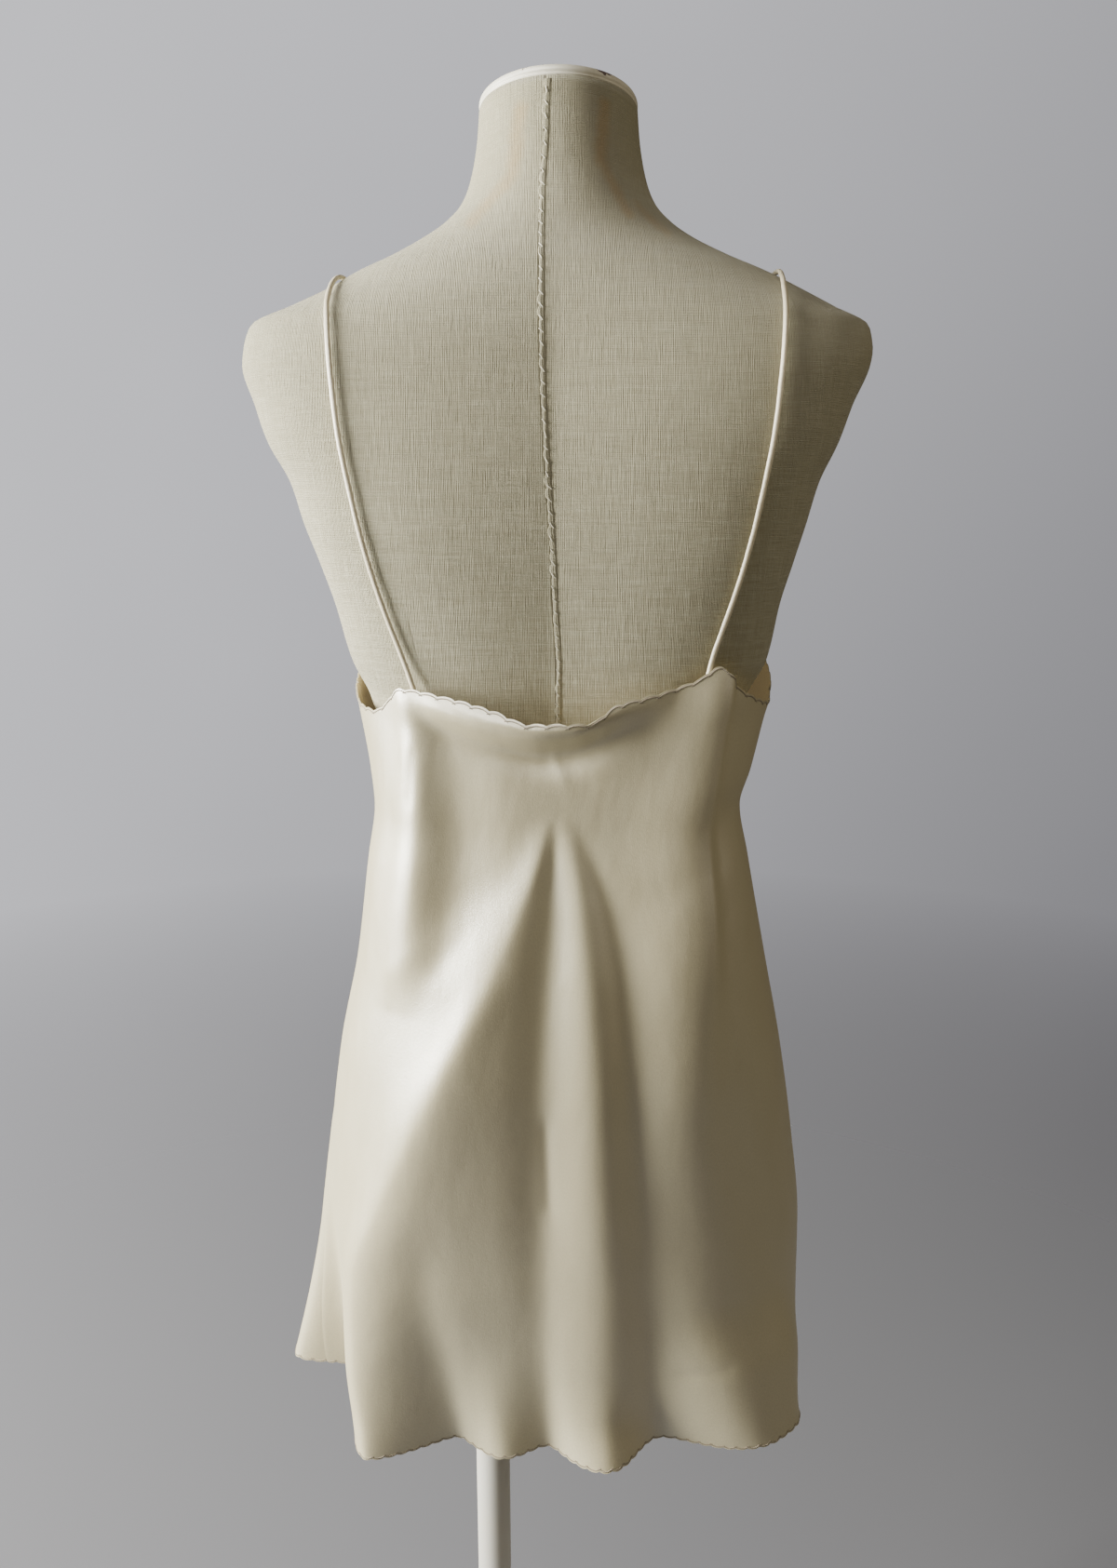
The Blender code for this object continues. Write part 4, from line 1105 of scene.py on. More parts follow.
@dataclass(frozen=True)
class Linen:
    """Natural linen over padding, with slubs and old stains, and painted shade towards its top, in
    its seam's groove and along its darts.
    """

    name: str
    colour: Colour
    dark_colour: Colour
    stain_colour: Colour
    weave: bpy.types.NodeTree
    shadow_colour: Colour = (0.09, 0.075, 0.045)
    threads: float = 1150.0
    unevenness: float = 0.9
    top_shade_from: float = 1.12
    top_shade_to: float = 1.34
    groove_aside: float = 0.0012
    groove_width: float = 0.0010
    dart_width: float = 0.0012

    def material(self) -> bpy.types.Material:
        """Builds the linen's material.

        Returns:
            The material.
        """
        made, sheet, shader = new_material(self.name)
        cloth, threads = sheet.woven(self.weave, self.threads, self.unevenness)
        shade = sheet.fit(threads.outputs["Shade"], 0.15, 1.25)
        colour = sheet.blend(shade, self.dark_colour, self.colour)
        bands = sheet.noise(sheet.scaled(cloth, (7.0, 330.0, 1.0)), 1.0, 3.0, 0.6)
        ribs = sheet.noise(sheet.scaled(cloth, (300.0, 5.0, 1.0)), 1.0, 3.0, 0.6)
        slubs = sheet.math("ADD", bands, sheet.math("MULTIPLY", ribs, 0.6))
        stripes = sheet.fit(slubs, 0.60, 1.0, 0.0, 0.55)
        clouds = sheet.fit(sheet.noise(cloth, 22.0, 4.0, 0.6), 0.35, 0.75, 0.0, 0.25)
        spot = sheet.add("ShaderNodeTexCoord").outputs["Object"]
        high = sheet.add("ShaderNodeSeparateXYZ", {"Vector": spot}).outputs["Z"]
        # painted shade: the cover darkens in blotches towards the top of the form, where the light
        # falls off
        blotches = sheet.fit(clouds, 0.0, 0.25, 0.85, 1.15)
        upwards = sheet.fit(high, self.top_shade_from, self.top_shade_to, 0.0, 0.70)
        painted_top_shade = sheet.math("MULTIPLY", upwards, blotches)
        for share in (stripes, clouds, painted_top_shade):
            colour = sheet.blend(share, colour, self.dark_colour)
        stain, off, dart = (sheet.add("ShaderNodeAttribute", attribute_name=name).outputs["Fac"]
                            for name in ("stain", "from_seam", "from_dart"))
        edges = sheet.noise(cloth, 95.0, 4.0, 0.6)
        soaked = sheet.math("ADD", stain, sheet.math("MULTIPLY", edges, 0.5))
        colour = sheet.blend(sheet.fit(soaked, 0.45, 1.05, 0.0, 0.8), colour, self.stain_colour)
        # painted shade: the groove beside the middle seam and the darts are darkened towards the
        # shadow colour
        from_groove = sheet.math("ABSOLUTE", sheet.math("SUBTRACT", off, self.groove_aside))
        groove = sheet.fit(from_groove, 0.0, self.groove_width, 0.9, 0.0)
        darted = sheet.fit(dart, 0.0, self.dart_width, 0.6, 0.0)
        hollow = sheet.math("MAXIMUM", groove, darted)
        colour = sheet.blend(sheet.math("MULTIPLY", hollow, 0.55), colour, self.shadow_colour)
        sunk = sheet.math("MULTIPLY", hollow, 2.4)
        relief = sheet.math("SUBTRACT", threads.outputs["Relief"], sunk)
        sheet.feed(shader, {
            "Base Color": colour, "Roughness": 0.92, "Sheen Weight": 0.15,
            "Normal": sheet.bump(0.55, 0.0006, relief)})
        return made


@dataclass(frozen=True)
class Paint:
    """Old cream paint that has yellowed and chipped."""

    name: str
    colour: Colour
    grime_colour: Colour
    bare_colour: Colour
    wear: bpy.types.NodeTree
    knocks: float

    def material(self) -> bpy.types.Material:
        """Builds the paint's material.

        Returns:
            The material.
        """
        made, sheet, shader = new_material(self.name)
        place = sheet.add("ShaderNodeTexCoord").outputs["Object"]
        knocked = sheet.add("ShaderNodeAttribute", attribute_name="knock").outputs["Fac"]
        knocks = sheet.math("MULTIPLY", knocked, self.knocks)
        values = {"Place": place, "Knocks": knocks}
        wear = sheet.add("ShaderNodeGroup", values, node_tree=self.wear).outputs
        grime = sheet.math("MULTIPLY", wear["Grime"], 0.55)
        colour = sheet.blend(grime, self.colour, self.grime_colour)
        sheet.feed(shader, {
            "Base Color": sheet.blend(wear["Chips"], colour, self.bare_colour),
            "Roughness": sheet.fit(wear["Chips"], 0.0, 1.0, 0.42, 0.8),
            "Normal": sheet.bump(0.35, 0.0005, wear["Relief"])})
        return made


@dataclass(frozen=True)
class Thread:
    """Plain cotton sewing thread."""

    name: str
    colour: Colour

    def material(self) -> bpy.types.Material:
        """Builds the thread's material.

        Returns:
            The material.
        """
        made, sheet, shader = new_material(self.name)
        tint = sheet.noise(sheet.add("ShaderNodeTexCoord").outputs["Object"], 700.0, 2.0)
        dark = tuple(0.72 * c for c in self.colour)
        sheet.feed(shader, {"Base Color": sheet.blend(tint, self.colour, dark), "Roughness": 0.75})
        return made


class Finishes:
    """Every material of the object."""

    def __init__(self) -> None:
        """Builds the shared groups and the materials."""
        weave = woven_threads()
        wear = worn_paint()
        self.satin = Satin(
            "ivory_satin", (0.465, 0.415, 0.262), (0.405, 0.348, 0.202),
            0.40, 2.6, 0.0, weave).material()
        # the back's 0.13 is a painted glow, standing in for light shining through the cloth
        self.satin_back = Satin(
            "satin_back", (0.74, 0.62, 0.38), (0.66, 0.52, 0.29),
            0.62, 1.5, 0.13, weave).material()
        self.strap_satin = Satin(
            "strap_satin", (0.66, 0.585, 0.42), (0.60, 0.52, 0.36),
            0.40, 2.0, 0.0, weave).material()
        self.cord = CordThread("edge_cord", (0.24, 0.195, 0.125)).material()
        self.linen = Linen(
            "linen_cover", (0.42, 0.394, 0.275), (0.265, 0.240, 0.150),
            (0.30, 0.215, 0.09), weave).material()
        self.cap_paint = Paint(
            "cap_paint", (0.66, 0.63, 0.53), (0.47, 0.42, 0.31),
            (0.07, 0.030, 0.020), wear, 0.52).material()
        self.pole_paint = Paint(
            "pole_paint", (0.47, 0.455, 0.40), (0.50, 0.46, 0.37),
            (0.13, 0.10, 0.08), wear, 0.18).material()
        self.thread = Thread("seam_thread", (0.66, 0.62, 0.50)).material()


# ---------------------------------------------------------------- repeated work


def grown_tree(name: str, sizes: tuple[str, ...]) -> tuple[NodeSheet, Sockets]:
    """Starts a geometry tree with a geometry, some sizes and a material.

    Args:
        name: The tree's name.
        sizes: The sizes' names.

    Returns:
        The sheet to fill, and the tree's inputs by name.
    """
    inputs = {"Geometry": "Geometry", **dict.fromkeys(sizes, "Float"), "Material": "Material"}
    return open_group("GeometryNodeTree", name, inputs, {"Geometry": "Geometry"})


def end_tree(sheet: NodeSheet, geometry: Socket, material: Socket) -> bpy.types.NodeTree:
    """Ends a geometry tree with real, smooth and painted geometry.

    Args:
        sheet: The tree's sheet.
        geometry: What the tree has made.
        material: Its finish.

    Returns:
        The tree.
    """
    real = sheet.add("GeometryNodeRealizeInstances", {"Geometry": geometry}).outputs[0]
    smooth = sheet.add("GeometryNodeSetShadeSmooth", {"Geometry": real}).outputs[0]
    painted = sheet.add("GeometryNodeSetMaterial", {"Geometry": smooth, "Material": material})
    sheet.add("NodeGroupOutput", {"Geometry": painted.outputs[0]})
    return sheet.tree


def stitch_tree() -> bpy.types.NodeTree:
    """The geometry tree that lays one stitch at each point.

    Returns:
        A tree that reads the points' "lie" and "face" directions.
    """
    sheet, given = grown_tree("laid_stitches", ("Stitch Length", "Thread Radius"))
    ends = (("Z", "Stitch Length", -0.5), ("Z", "Stitch Length", 0.5), ("Y", "Thread Radius", 2.0))
    start, end, crown = (
        sheet.add("ShaderNodeCombineXYZ", {axis: sheet.math("MULTIPLY", given[size], share)})
        .outputs[0] for axis, size, share in ends)
    bow = sheet.add("GeometryNodeCurveQuadraticBezier", {
        "Resolution": 6, "Start": start, "Middle": crown, "End": end})
    ring = sheet.add("GeometryNodeCurvePrimitiveCircle", {
        "Resolution": 6, "Radius": given["Thread Radius"]})
    strand = sheet.add("GeometryNodeCurveToMesh", {
        "Curve": bow.outputs[0], "Profile Curve": ring.outputs[0], "Fill Caps": True})
    lie, face = (
        sheet.add("GeometryNodeInputNamedAttribute", {"Name": name}, data_type="FLOAT_VECTOR")
        .outputs[0] for name in ("lie", "face"))
    turned = sheet.add("FunctionNodeAlignRotationToVector", {"Vector": lie}, axis="Z")
    faced = sheet.add("FunctionNodeAlignRotationToVector", {
        "Rotation": turned.outputs[0], "Vector": face}, axis="Y", pivot_axis="Z")
    laid = sheet.add("GeometryNodeInstanceOnPoints", {
        "Points": given["Geometry"], "Instance": strand.outputs[0], "Rotation": faced.outputs[0]})
    return end_tree(sheet, laid.outputs[0], given["Material"])


def cord_tree() -> bpy.types.NodeTree:
    """The geometry tree that turns each edge line into a raised thread.

    Returns:
        A tree that sweeps a ring along every line and keeps the length so far in "along".
    """
    sheet, given = grown_tree("raised_cord", ("Cord Radius",))
    length = sheet.add("GeometryNodeSplineParameter").outputs["Length"]
    kept = sheet.add("GeometryNodeStoreNamedAttribute", {
        "Geometry": given["Geometry"], "Name": "along", "Value": length},
        data_type="FLOAT", domain="POINT")
    ring = sheet.add("GeometryNodeCurvePrimitiveCircle", {
        "Resolution": 7, "Radius": given["Cord Radius"]})
    cord = sheet.add("GeometryNodeCurveToMesh", {
        "Curve": kept.outputs[0], "Profile Curve": ring.outputs[0], "Fill Caps": True})
    if "Scale" in cord.inputs:
        sheet.feed(cord, {"Scale": sheet.add("GeometryNodeInputRadius").outputs[0]})
    return end_tree(sheet, cord.outputs[0], given["Material"])


def grown_mesh(
    name: str, seed: bpy.types.Object, tree: bpy.types.NodeTree, values: dict[str, object]
) -> bpy.types.Object:
    """Runs a geometry tree on an object and keeps the result as a plain mesh.

    Args:
        name: The new piece's name.
        seed: The object that the tree grows from. It is removed.
        tree: The geometry tree.
        values: The tree's inputs by name.

    Returns:
        The new piece.
    """
    modifier = seed.modifiers.new("grow", "NODES")
    modifier.node_group = tree
    for item in tree.interface.items_tree:
        if item.item_type == "SOCKET" and item.in_out == "INPUT" and item.name in values:
            modifier[item.identifier] = values[item.name]
    mesh = grown(seed)
    mesh.name = name
    bpy.data.objects.remove(seed)
    return place_object(name, mesh)


def laid_stitches(
    name: str, places: Array, lies: Array, faces: Array, tree: bpy.types.NodeTree,
    length: float, radius: float, material: bpy.types.Material,
) -> bpy.types.Object:
    """Lays hand stitches on a surface.

    Args:
        name: The piece's name.
        places: The stitches' middles in the body's frame.
        lies: The directions in which they lie.
        faces: The surface's outward directions.
        tree: The stitching tree.
        length: A stitch's length.
        radius: The thread's radius.
        material: The thread's finish.

    Returns:
        The stitches as one piece.
    """
    seed = plain_object(name + "_places", places, [])
    for label, values in (("lie", lies), ("face", faces)):
        layer = seed.data.attributes.new(label, "FLOAT_VECTOR", "POINT")
        layer.data.foreach_set("vector", np.asarray(values, np.float32).ravel())
    values = {"Stitch Length": length, "Thread Radius": radius, "Material": material}
    return grown_mesh(name, seed, tree, values)


# ---------------------------------------------------------------- sub-assemblies


@dataclass
class DressPanel:
    """One cut panel of the slip, with its scalloped edges and their stitched line."""

    panel: Panel
    shape: DressShape
    neck: SmoothTable
    neck_scallops: int
    node: str
    flat: tuple[float, float]
    flat_area: float
    hem_scallops: int = 64
    side_tops: tuple[float, float] = (1.0525, 1.0490)
    columns: int = 236
    rows: int = 165
    crowding: float = 1.35
    scallop_depth: float = 0.0011
    scallop_steps: int = 8
    edge_band: float = 0.0018
    thickness: float = 0.0007
    cord_radius: float = 0.00034
    cord_inset: float = 0.0012
    cord_overrun: float = 0.10
    cord_points: int = 13
    cord_taper: tuple[float, float] = (0.12, 0.88)
    cord_roundness: float = 0.6
    cord_thinnest: float = 0.45
    cord_swell: float = 0.75
    seam_dip: float = 0.0007
    seam_dip_spread: float = 0.0016
    sharp_angle: float = 42.0
    arc_samples: int = 1440
    TURN_STEP = 0.15
    HEIGHT_STEP = 0.0004

    def seam_angles(self, heights: tuple[float, float]) -> tuple[float, float]:
        """Where the panel starts and ends.

        Args:
            heights: The height at its start and at its end.

        Returns:
            The two angles in degrees.
        """
        is_back = self.panel is Panel.BACK
        sides = ("left", "right") if is_back else ("right", "left")
        start, end = (float(self.shape.SEAMS.at(*place)) for place in zip(sides, heights))
        return (start, end if is_back else end + 360.0)

    def row(self, level: float, fractions: Array, drop: float, swell: Array | float) -> Array:
        """One row of points across the panel.

        Args:
            level: The row's share of the panel's height.
            fractions: Shares of the row's length.
            drop: How far the row is moved down.
            swell: How far each point is moved up.

        Returns:
            Rows of (angle, height).
        """
        tops = self.side_tops if self.panel is Panel.BACK else self.side_tops[::-1]
        hem = self.shape.HEM
        start, end = self.seam_angles(tuple(hem + level * (top - hem) - drop for top in tops))
        mean_top = float(np.mean(self.neck.values[1]))
        angles = np.linspace(start, end, self.arc_samples)
        line = self.shape.point(angles, np.full(self.arc_samples, hem + level * (mean_top - hem)))
        along = length_along(line)
        angles = np.interp(fractions * along[-1], along, angles)
        heights = hem + level * (self.neck.at("height", angles) - hem) - drop + swell
        return np.stack([angles, heights], axis=-1)

    def swell(self, fractions: Array, count: int) -> Array:
        """How far each scallop swells past the line of its ends."""
        place = (fractions * count) % 1.0
        return self.scallop_depth * 4.0 * place * (1.0 - place)

    def face_points(self, places: Array, lift: float) -> Array:
        """Points of the cloth, lifted from its inner face along its outward direction.

        Args:
            places: Rows of (angle, height).
            lift: How far to lift.

        Returns:
            Points in the body's frame.
        """
        angle = places[..., 0]
        height = places[..., 1]
        point = self.shape.point
        here = point(angle, height)
        round_it = point(angle + self.TURN_STEP, height) - point(angle - self.TURN_STEP, height)
        up_it = point(angle, height + self.HEIGHT_STEP) - point(angle, height - self.HEIGHT_STEP)
        return here + lift * unit(np.cross(round_it, up_it))

    def build_cloth(self) -> bpy.types.Object:
        """Builds the panel's thin shell.

        Returns:
            The cloth, with a UV map in metres.
        """
        fractions = np.linspace(0.0, 1.0, self.columns + 1)
        levels = 1.0 - np.linspace(1.0, 0.0, self.rows + 1) ** self.crowding
        grid = np.stack([self.row(level, fractions, self.edge_band * (2.0 * level - 1.0), 0.0)
                         for level in levels])
        hem = np.linspace(0.0, 1.0, self.hem_scallops * self.scallop_steps + 1)
        top = np.linspace(0.0, 1.0, self.neck_scallops * self.scallop_steps + 1)
        hem_row = self.row(0.0, hem, 0.0, -self.swell(hem, self.hem_scallops))
        top_row = self.row(1.0, top, 0.0, self.swell(top, self.neck_scallops))
        places = np.concatenate([grid.reshape(-1, 2), hem_row, top_row])
        shares = np.concatenate([np.tile(fractions, len(levels)), hem, top])
        faces = grid_faces(self.columns + 1, self.rows + 1, False)
        body = grid.shape[0] * grid.shape[1]
        last = body - len(fractions)
        faces += zip_faces(self.numbered(hem, body), self.numbered(fractions, 0))
        faces += zip_faces(self.numbered(fractions, last), self.numbered(top, body + len(hem)))
        to_seam = np.minimum(shares, 1.0 - shares) * self.flat[0]
        dip = self.seam_dip * bell(to_seam, self.seam_dip_spread)
        points = self.face_points(places, self.shape.WALL - self.thickness)
        points -= dip[:, None] * unit(points * np.array([1.0, 1.0, 0.0]))
        piece = plain_object(f"slip_{self.panel.value}", points, faces)
        add_uv(piece.data, np.stack([shares * self.flat[0], places[:, 1]], axis=-1))
        return piece

    @staticmethod
    def numbered(fractions: Array, first: int) -> list[tuple[float, int]]:
        """Pairs each share with its point's number."""
        return [(float(share), first + k) for k, share in enumerate(fractions)]

    def edge_arcs(self, count: int, level: float) -> list[Array]:
        """The lines of one scalloped edge, one arc for each scallop.

        Args:
            count: Number of scallops.
            level: 0 for the hem and 1 for the neckline.

        Returns:
            The arcs' points, each running a little past its own scallop.
        """
        way = 1.0 if level > 0.5 else -1.0
        inside = np.linspace(-self.cord_overrun, 1.0 + self.cord_overrun, self.cord_points)
        shares = np.clip((np.arange(count)[:, None] + inside) / count, 0.0, 1.0)
        bulges = np.tile(4.0 * inside * (1.0 - inside) * self.scallop_depth, count)
        places = self.row(level, shares.ravel(), 0.0, way * (bulges - self.cord_inset))
        points = self.face_points(places, self.shape.WALL)
        return list(points.reshape(count, len(inside), 3))

    def build_cord(
        self, tree: bpy.types.NodeTree, material: bpy.types.Material
    ) -> bpy.types.Object:
        """Builds the stitched line along the neckline and the hem.

        Args:
            tree: The line's geometry tree.
            material: Its finish.

        Returns:
            The line as one piece.
        """
        curve = bpy.data.curves.new("edge_lines", "CURVE")
        curve.dimensions = "3D"
        fade = np.sin(np.linspace(*self.cord_taper, self.cord_points) * math.pi)
        sizes = self.cord_thinnest + self.cord_swell * fade**self.cord_roundness
        for arc in self.edge_arcs(self.hem_scallops, 0.0) + self.edge_arcs(self.neck_scallops, 1.0):
            spline = curve.splines.new("POLY")
            spline.points.add(len(arc) - 1)
            for point, place, size in zip(spline.points, arc, sizes):
                point.co = (place[0] + BODY_X, place[1], place[2], 1.0)
                point.radius = float(size)
        values = {"Cord Radius": self.cord_radius, "Material": material}
        seed = place_object("edge_lines", curve)
        return grown_mesh(f"slip_{self.panel.value}_edge", seed, tree, values)

    def make(self, finishes: Finishes, cords: bpy.types.NodeTree) -> list[bpy.types.Object]:
        """Builds and dresses the panel.

        Args:
            finishes: The object's materials.
            cords: The stitched line's geometry tree.

        Returns:
            The cloth and its stitched line.
        """
        cloth = self.build_cloth()
        cloth.data.materials.append(finishes.satin)
        cloth.data.materials.append(finishes.satin_back)
        wall = cloth.modifiers.new("thickness", "SOLIDIFY")
        wall.thickness = self.thickness
        wall.offset = 1.0
        wall.material_offset = 1
        wall.material_offset_rim = 0
        cloth.data = grown(cloth)
        cloth.modifiers.clear()
        cloth.data.set_sharp_from_angle(angle=math.radians(self.sharp_angle))
        cord = self.build_cord(cords, finishes.cord)
        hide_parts(self.node)
        for piece in (cloth, cord):
            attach(piece, BODY)
        return [cloth, cord]


@dataclass
class Strap:
    """A narrow turned strap over one shoulder."""

    side: Side
    form: FormShape
    dress: DressShape
    reach: float
    node: str
    diameter: float = 0.0031
    rest: float = 0.0009
    points_per_side: int = 24
    smoothings: int = 3
    sides: int = 14
    quarter_steps: int = 181
    height_steps: int = 360
    sink: float = 0.8
    flatness: float = 0.86
    back_settle: float = 0.065
    front_settle: float = 0.045
    SURFACE_STEPS = (240, 300)
    SURFACE_RUN = (1.036, 1.39)
    WOBBLES = ((0.03, 0.9), (0.02, 2.3))

    BACK = SmoothTable("height sideways", (
        (1.0560, 0.0785),
        (1.0660, 0.0828),
        (1.0811, 0.0896),
        (1.1060, 0.0980),
        (1.1300, 0.1043),
        (1.1554, 0.1101),
        (1.1835, 0.1154),
        (1.2075, 0.1194),
        (1.2350, 0.1223),
        (1.2623, 0.1252),
        (1.2800, 0.1268),
        (1.2880, 0.1276),
        (1.2930, 0.1258),
    ))
    FRONT = SmoothTable("height sideways", (
        (1.1570, 0.0790),
        (1.2000, 0.0980),
        (1.2400, 0.1130),
        (1.2700, 0.1210),
        (1.2860, 0.1248),
        (1.2930, 0.1258),
    ))

    def quarter_angle(self, quarter: Array | float, is_back: bool) -> Array | float:
        """The body's angle that lies so many degrees from this side."""
        turned_to = quarter if is_back else -quarter
        return (turned_to if self.side is Side.LEFT else 180.0 - turned_to) % 360.0

    def half(self, run: SmoothTable, is_back: bool, lift_off: float) -> Array:
        """Half of the strap, from its sewn end up to the shoulder's ridge.

        Args:
            run: How far from the middle it lies at each height.
            is_back: Whether it is the back half.
            lift_off: Over what height it settles from the cloth to the form.

        Returns:
            Its middle line.
        """
        quarter = np.linspace(0.0, 90.0, self.quarter_steps)
        around = self.quarter_angle(quarter, is_back)
        seat = self.diameter / 2 + self.rest
        low = run.values[0][0]
        points = []
        for height in np.linspace(low, run.values[0][-1], self.height_steps):
            reach = self.side.value * self.form.point(around, np.full(len(around), height))[:, 0]
            wanted = self.reach * float(run.at("sideways", height))
            angle = self.quarter_angle(float(np.interp(-wanted, -reach, quarter)), is_back)
            point = self.form.point(angle, height) + seat * self.form.normal(angle, height)
            share = (height - low) / lift_off
            if share < 1.0:
                gap = float(self.dress.radius(angle, height) - self.form.radius(angle, height))
                away = max(gap - self.dress.TO_FORM * self.sink - self.diameter / 2 - seat, 0.0)
                ease = (1.0 - share) ** 2 * (1.0 + 2.0 * share)
                point = point + away * ease * np.array([*turned_out(1.0, angle), 0.0])
            points.append(point)
        line = np.array(points)
        along = length_along(line)
        wanted_at = np.linspace(0.0, along[-1], self.points_per_side)
        return np.stack([np.interp(wanted_at, along, line[:, k]) for k in range(3)], axis=-1)

    def surface(self) -> tuple[Array, Array]:
        """Samples the form's upper surface.

        Returns:
            Many of its points and their outward directions.
        """
        turns = np.linspace(0.0, 360.0, self.SURFACE_STEPS[0], endpoint=False)
        rings = np.linspace(*self.SURFACE_RUN, self.SURFACE_STEPS[1])
        points = self.form.point(*np.meshgrid(turns, rings))
        round_it = np.roll(points, -1, axis=1) - np.roll(points, 1, axis=1)
        normals = unit(np.cross(round_it, np.gradient(points, axis=0)))
        return points.reshape(-1, 3), normals.reshape(-1, 3)

    def path(self) -> tuple[Array, Array]:
        """Joins both halves and lays them smoothly on the form.

        Returns:
            The strap's middle line and the form's outward directions along it.
        """
        back = self.half(self.BACK, True, self.back_settle)
        front = self.half(self.FRONT, False, self.front_settle)
        line = np.concatenate([back[:-1], front[::-1][1:]])
        surface, normals = self.surface()
        for _ in range(self.smoothings):
            line[1:-1] = 0.25 * line[:-2] + 0.5 * line[1:-1] + 0.25 * line[2:]
            for i, point in enumerate(line):
                k = nearest(surface, point)
                over = float((point - surface[k]) @ normals[k])
                line[i] = point + max(self.diameter / 2 + self.rest - over, 0.0) * normals[k]
        knots = np.linspace(0.0, 1.0, len(line))
        fine = np.linspace(0.0, 1.0, 4 * len(line) - 3)
        columns = [SmoothTable("knot place", tuple(zip(knots, column))).at("place", fine)
                   for column in line.T]
        line = np.stack(columns, axis=-1)
        return line, np.array([normals[nearest(surface, point)] for point in line])

    def make(self, finishes: Finishes) -> list[bpy.types.Object]:
        """Builds and dresses the strap.

        Args:
            finishes: The object's materials.

        Returns:
            The strap.
        """
        line, outs = self.path()
        run = unit(np.gradient(line, axis=0))
        across = unit(np.cross(run, outs))
        out = np.cross(across, run)
        wobble = np.ones(len(line))
        for size, beat in self.WOBBLES:
            wobble = wobble + size * np.sin(np.arange(len(line)) * beat)
        wide = self.diameter / 2 * wobble
        deep = self.diameter / 2 * self.flatness * np.ones(len(line))
        name = f"strap_{self.side.name.lower()}_satin"
        strap = tube_object(name, line, across, out, wide, deep, self.sides)
        strap.data.materials.append(finishes.strap_satin)
        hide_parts(self.node)
        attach(strap, BODY)
        return [strap]


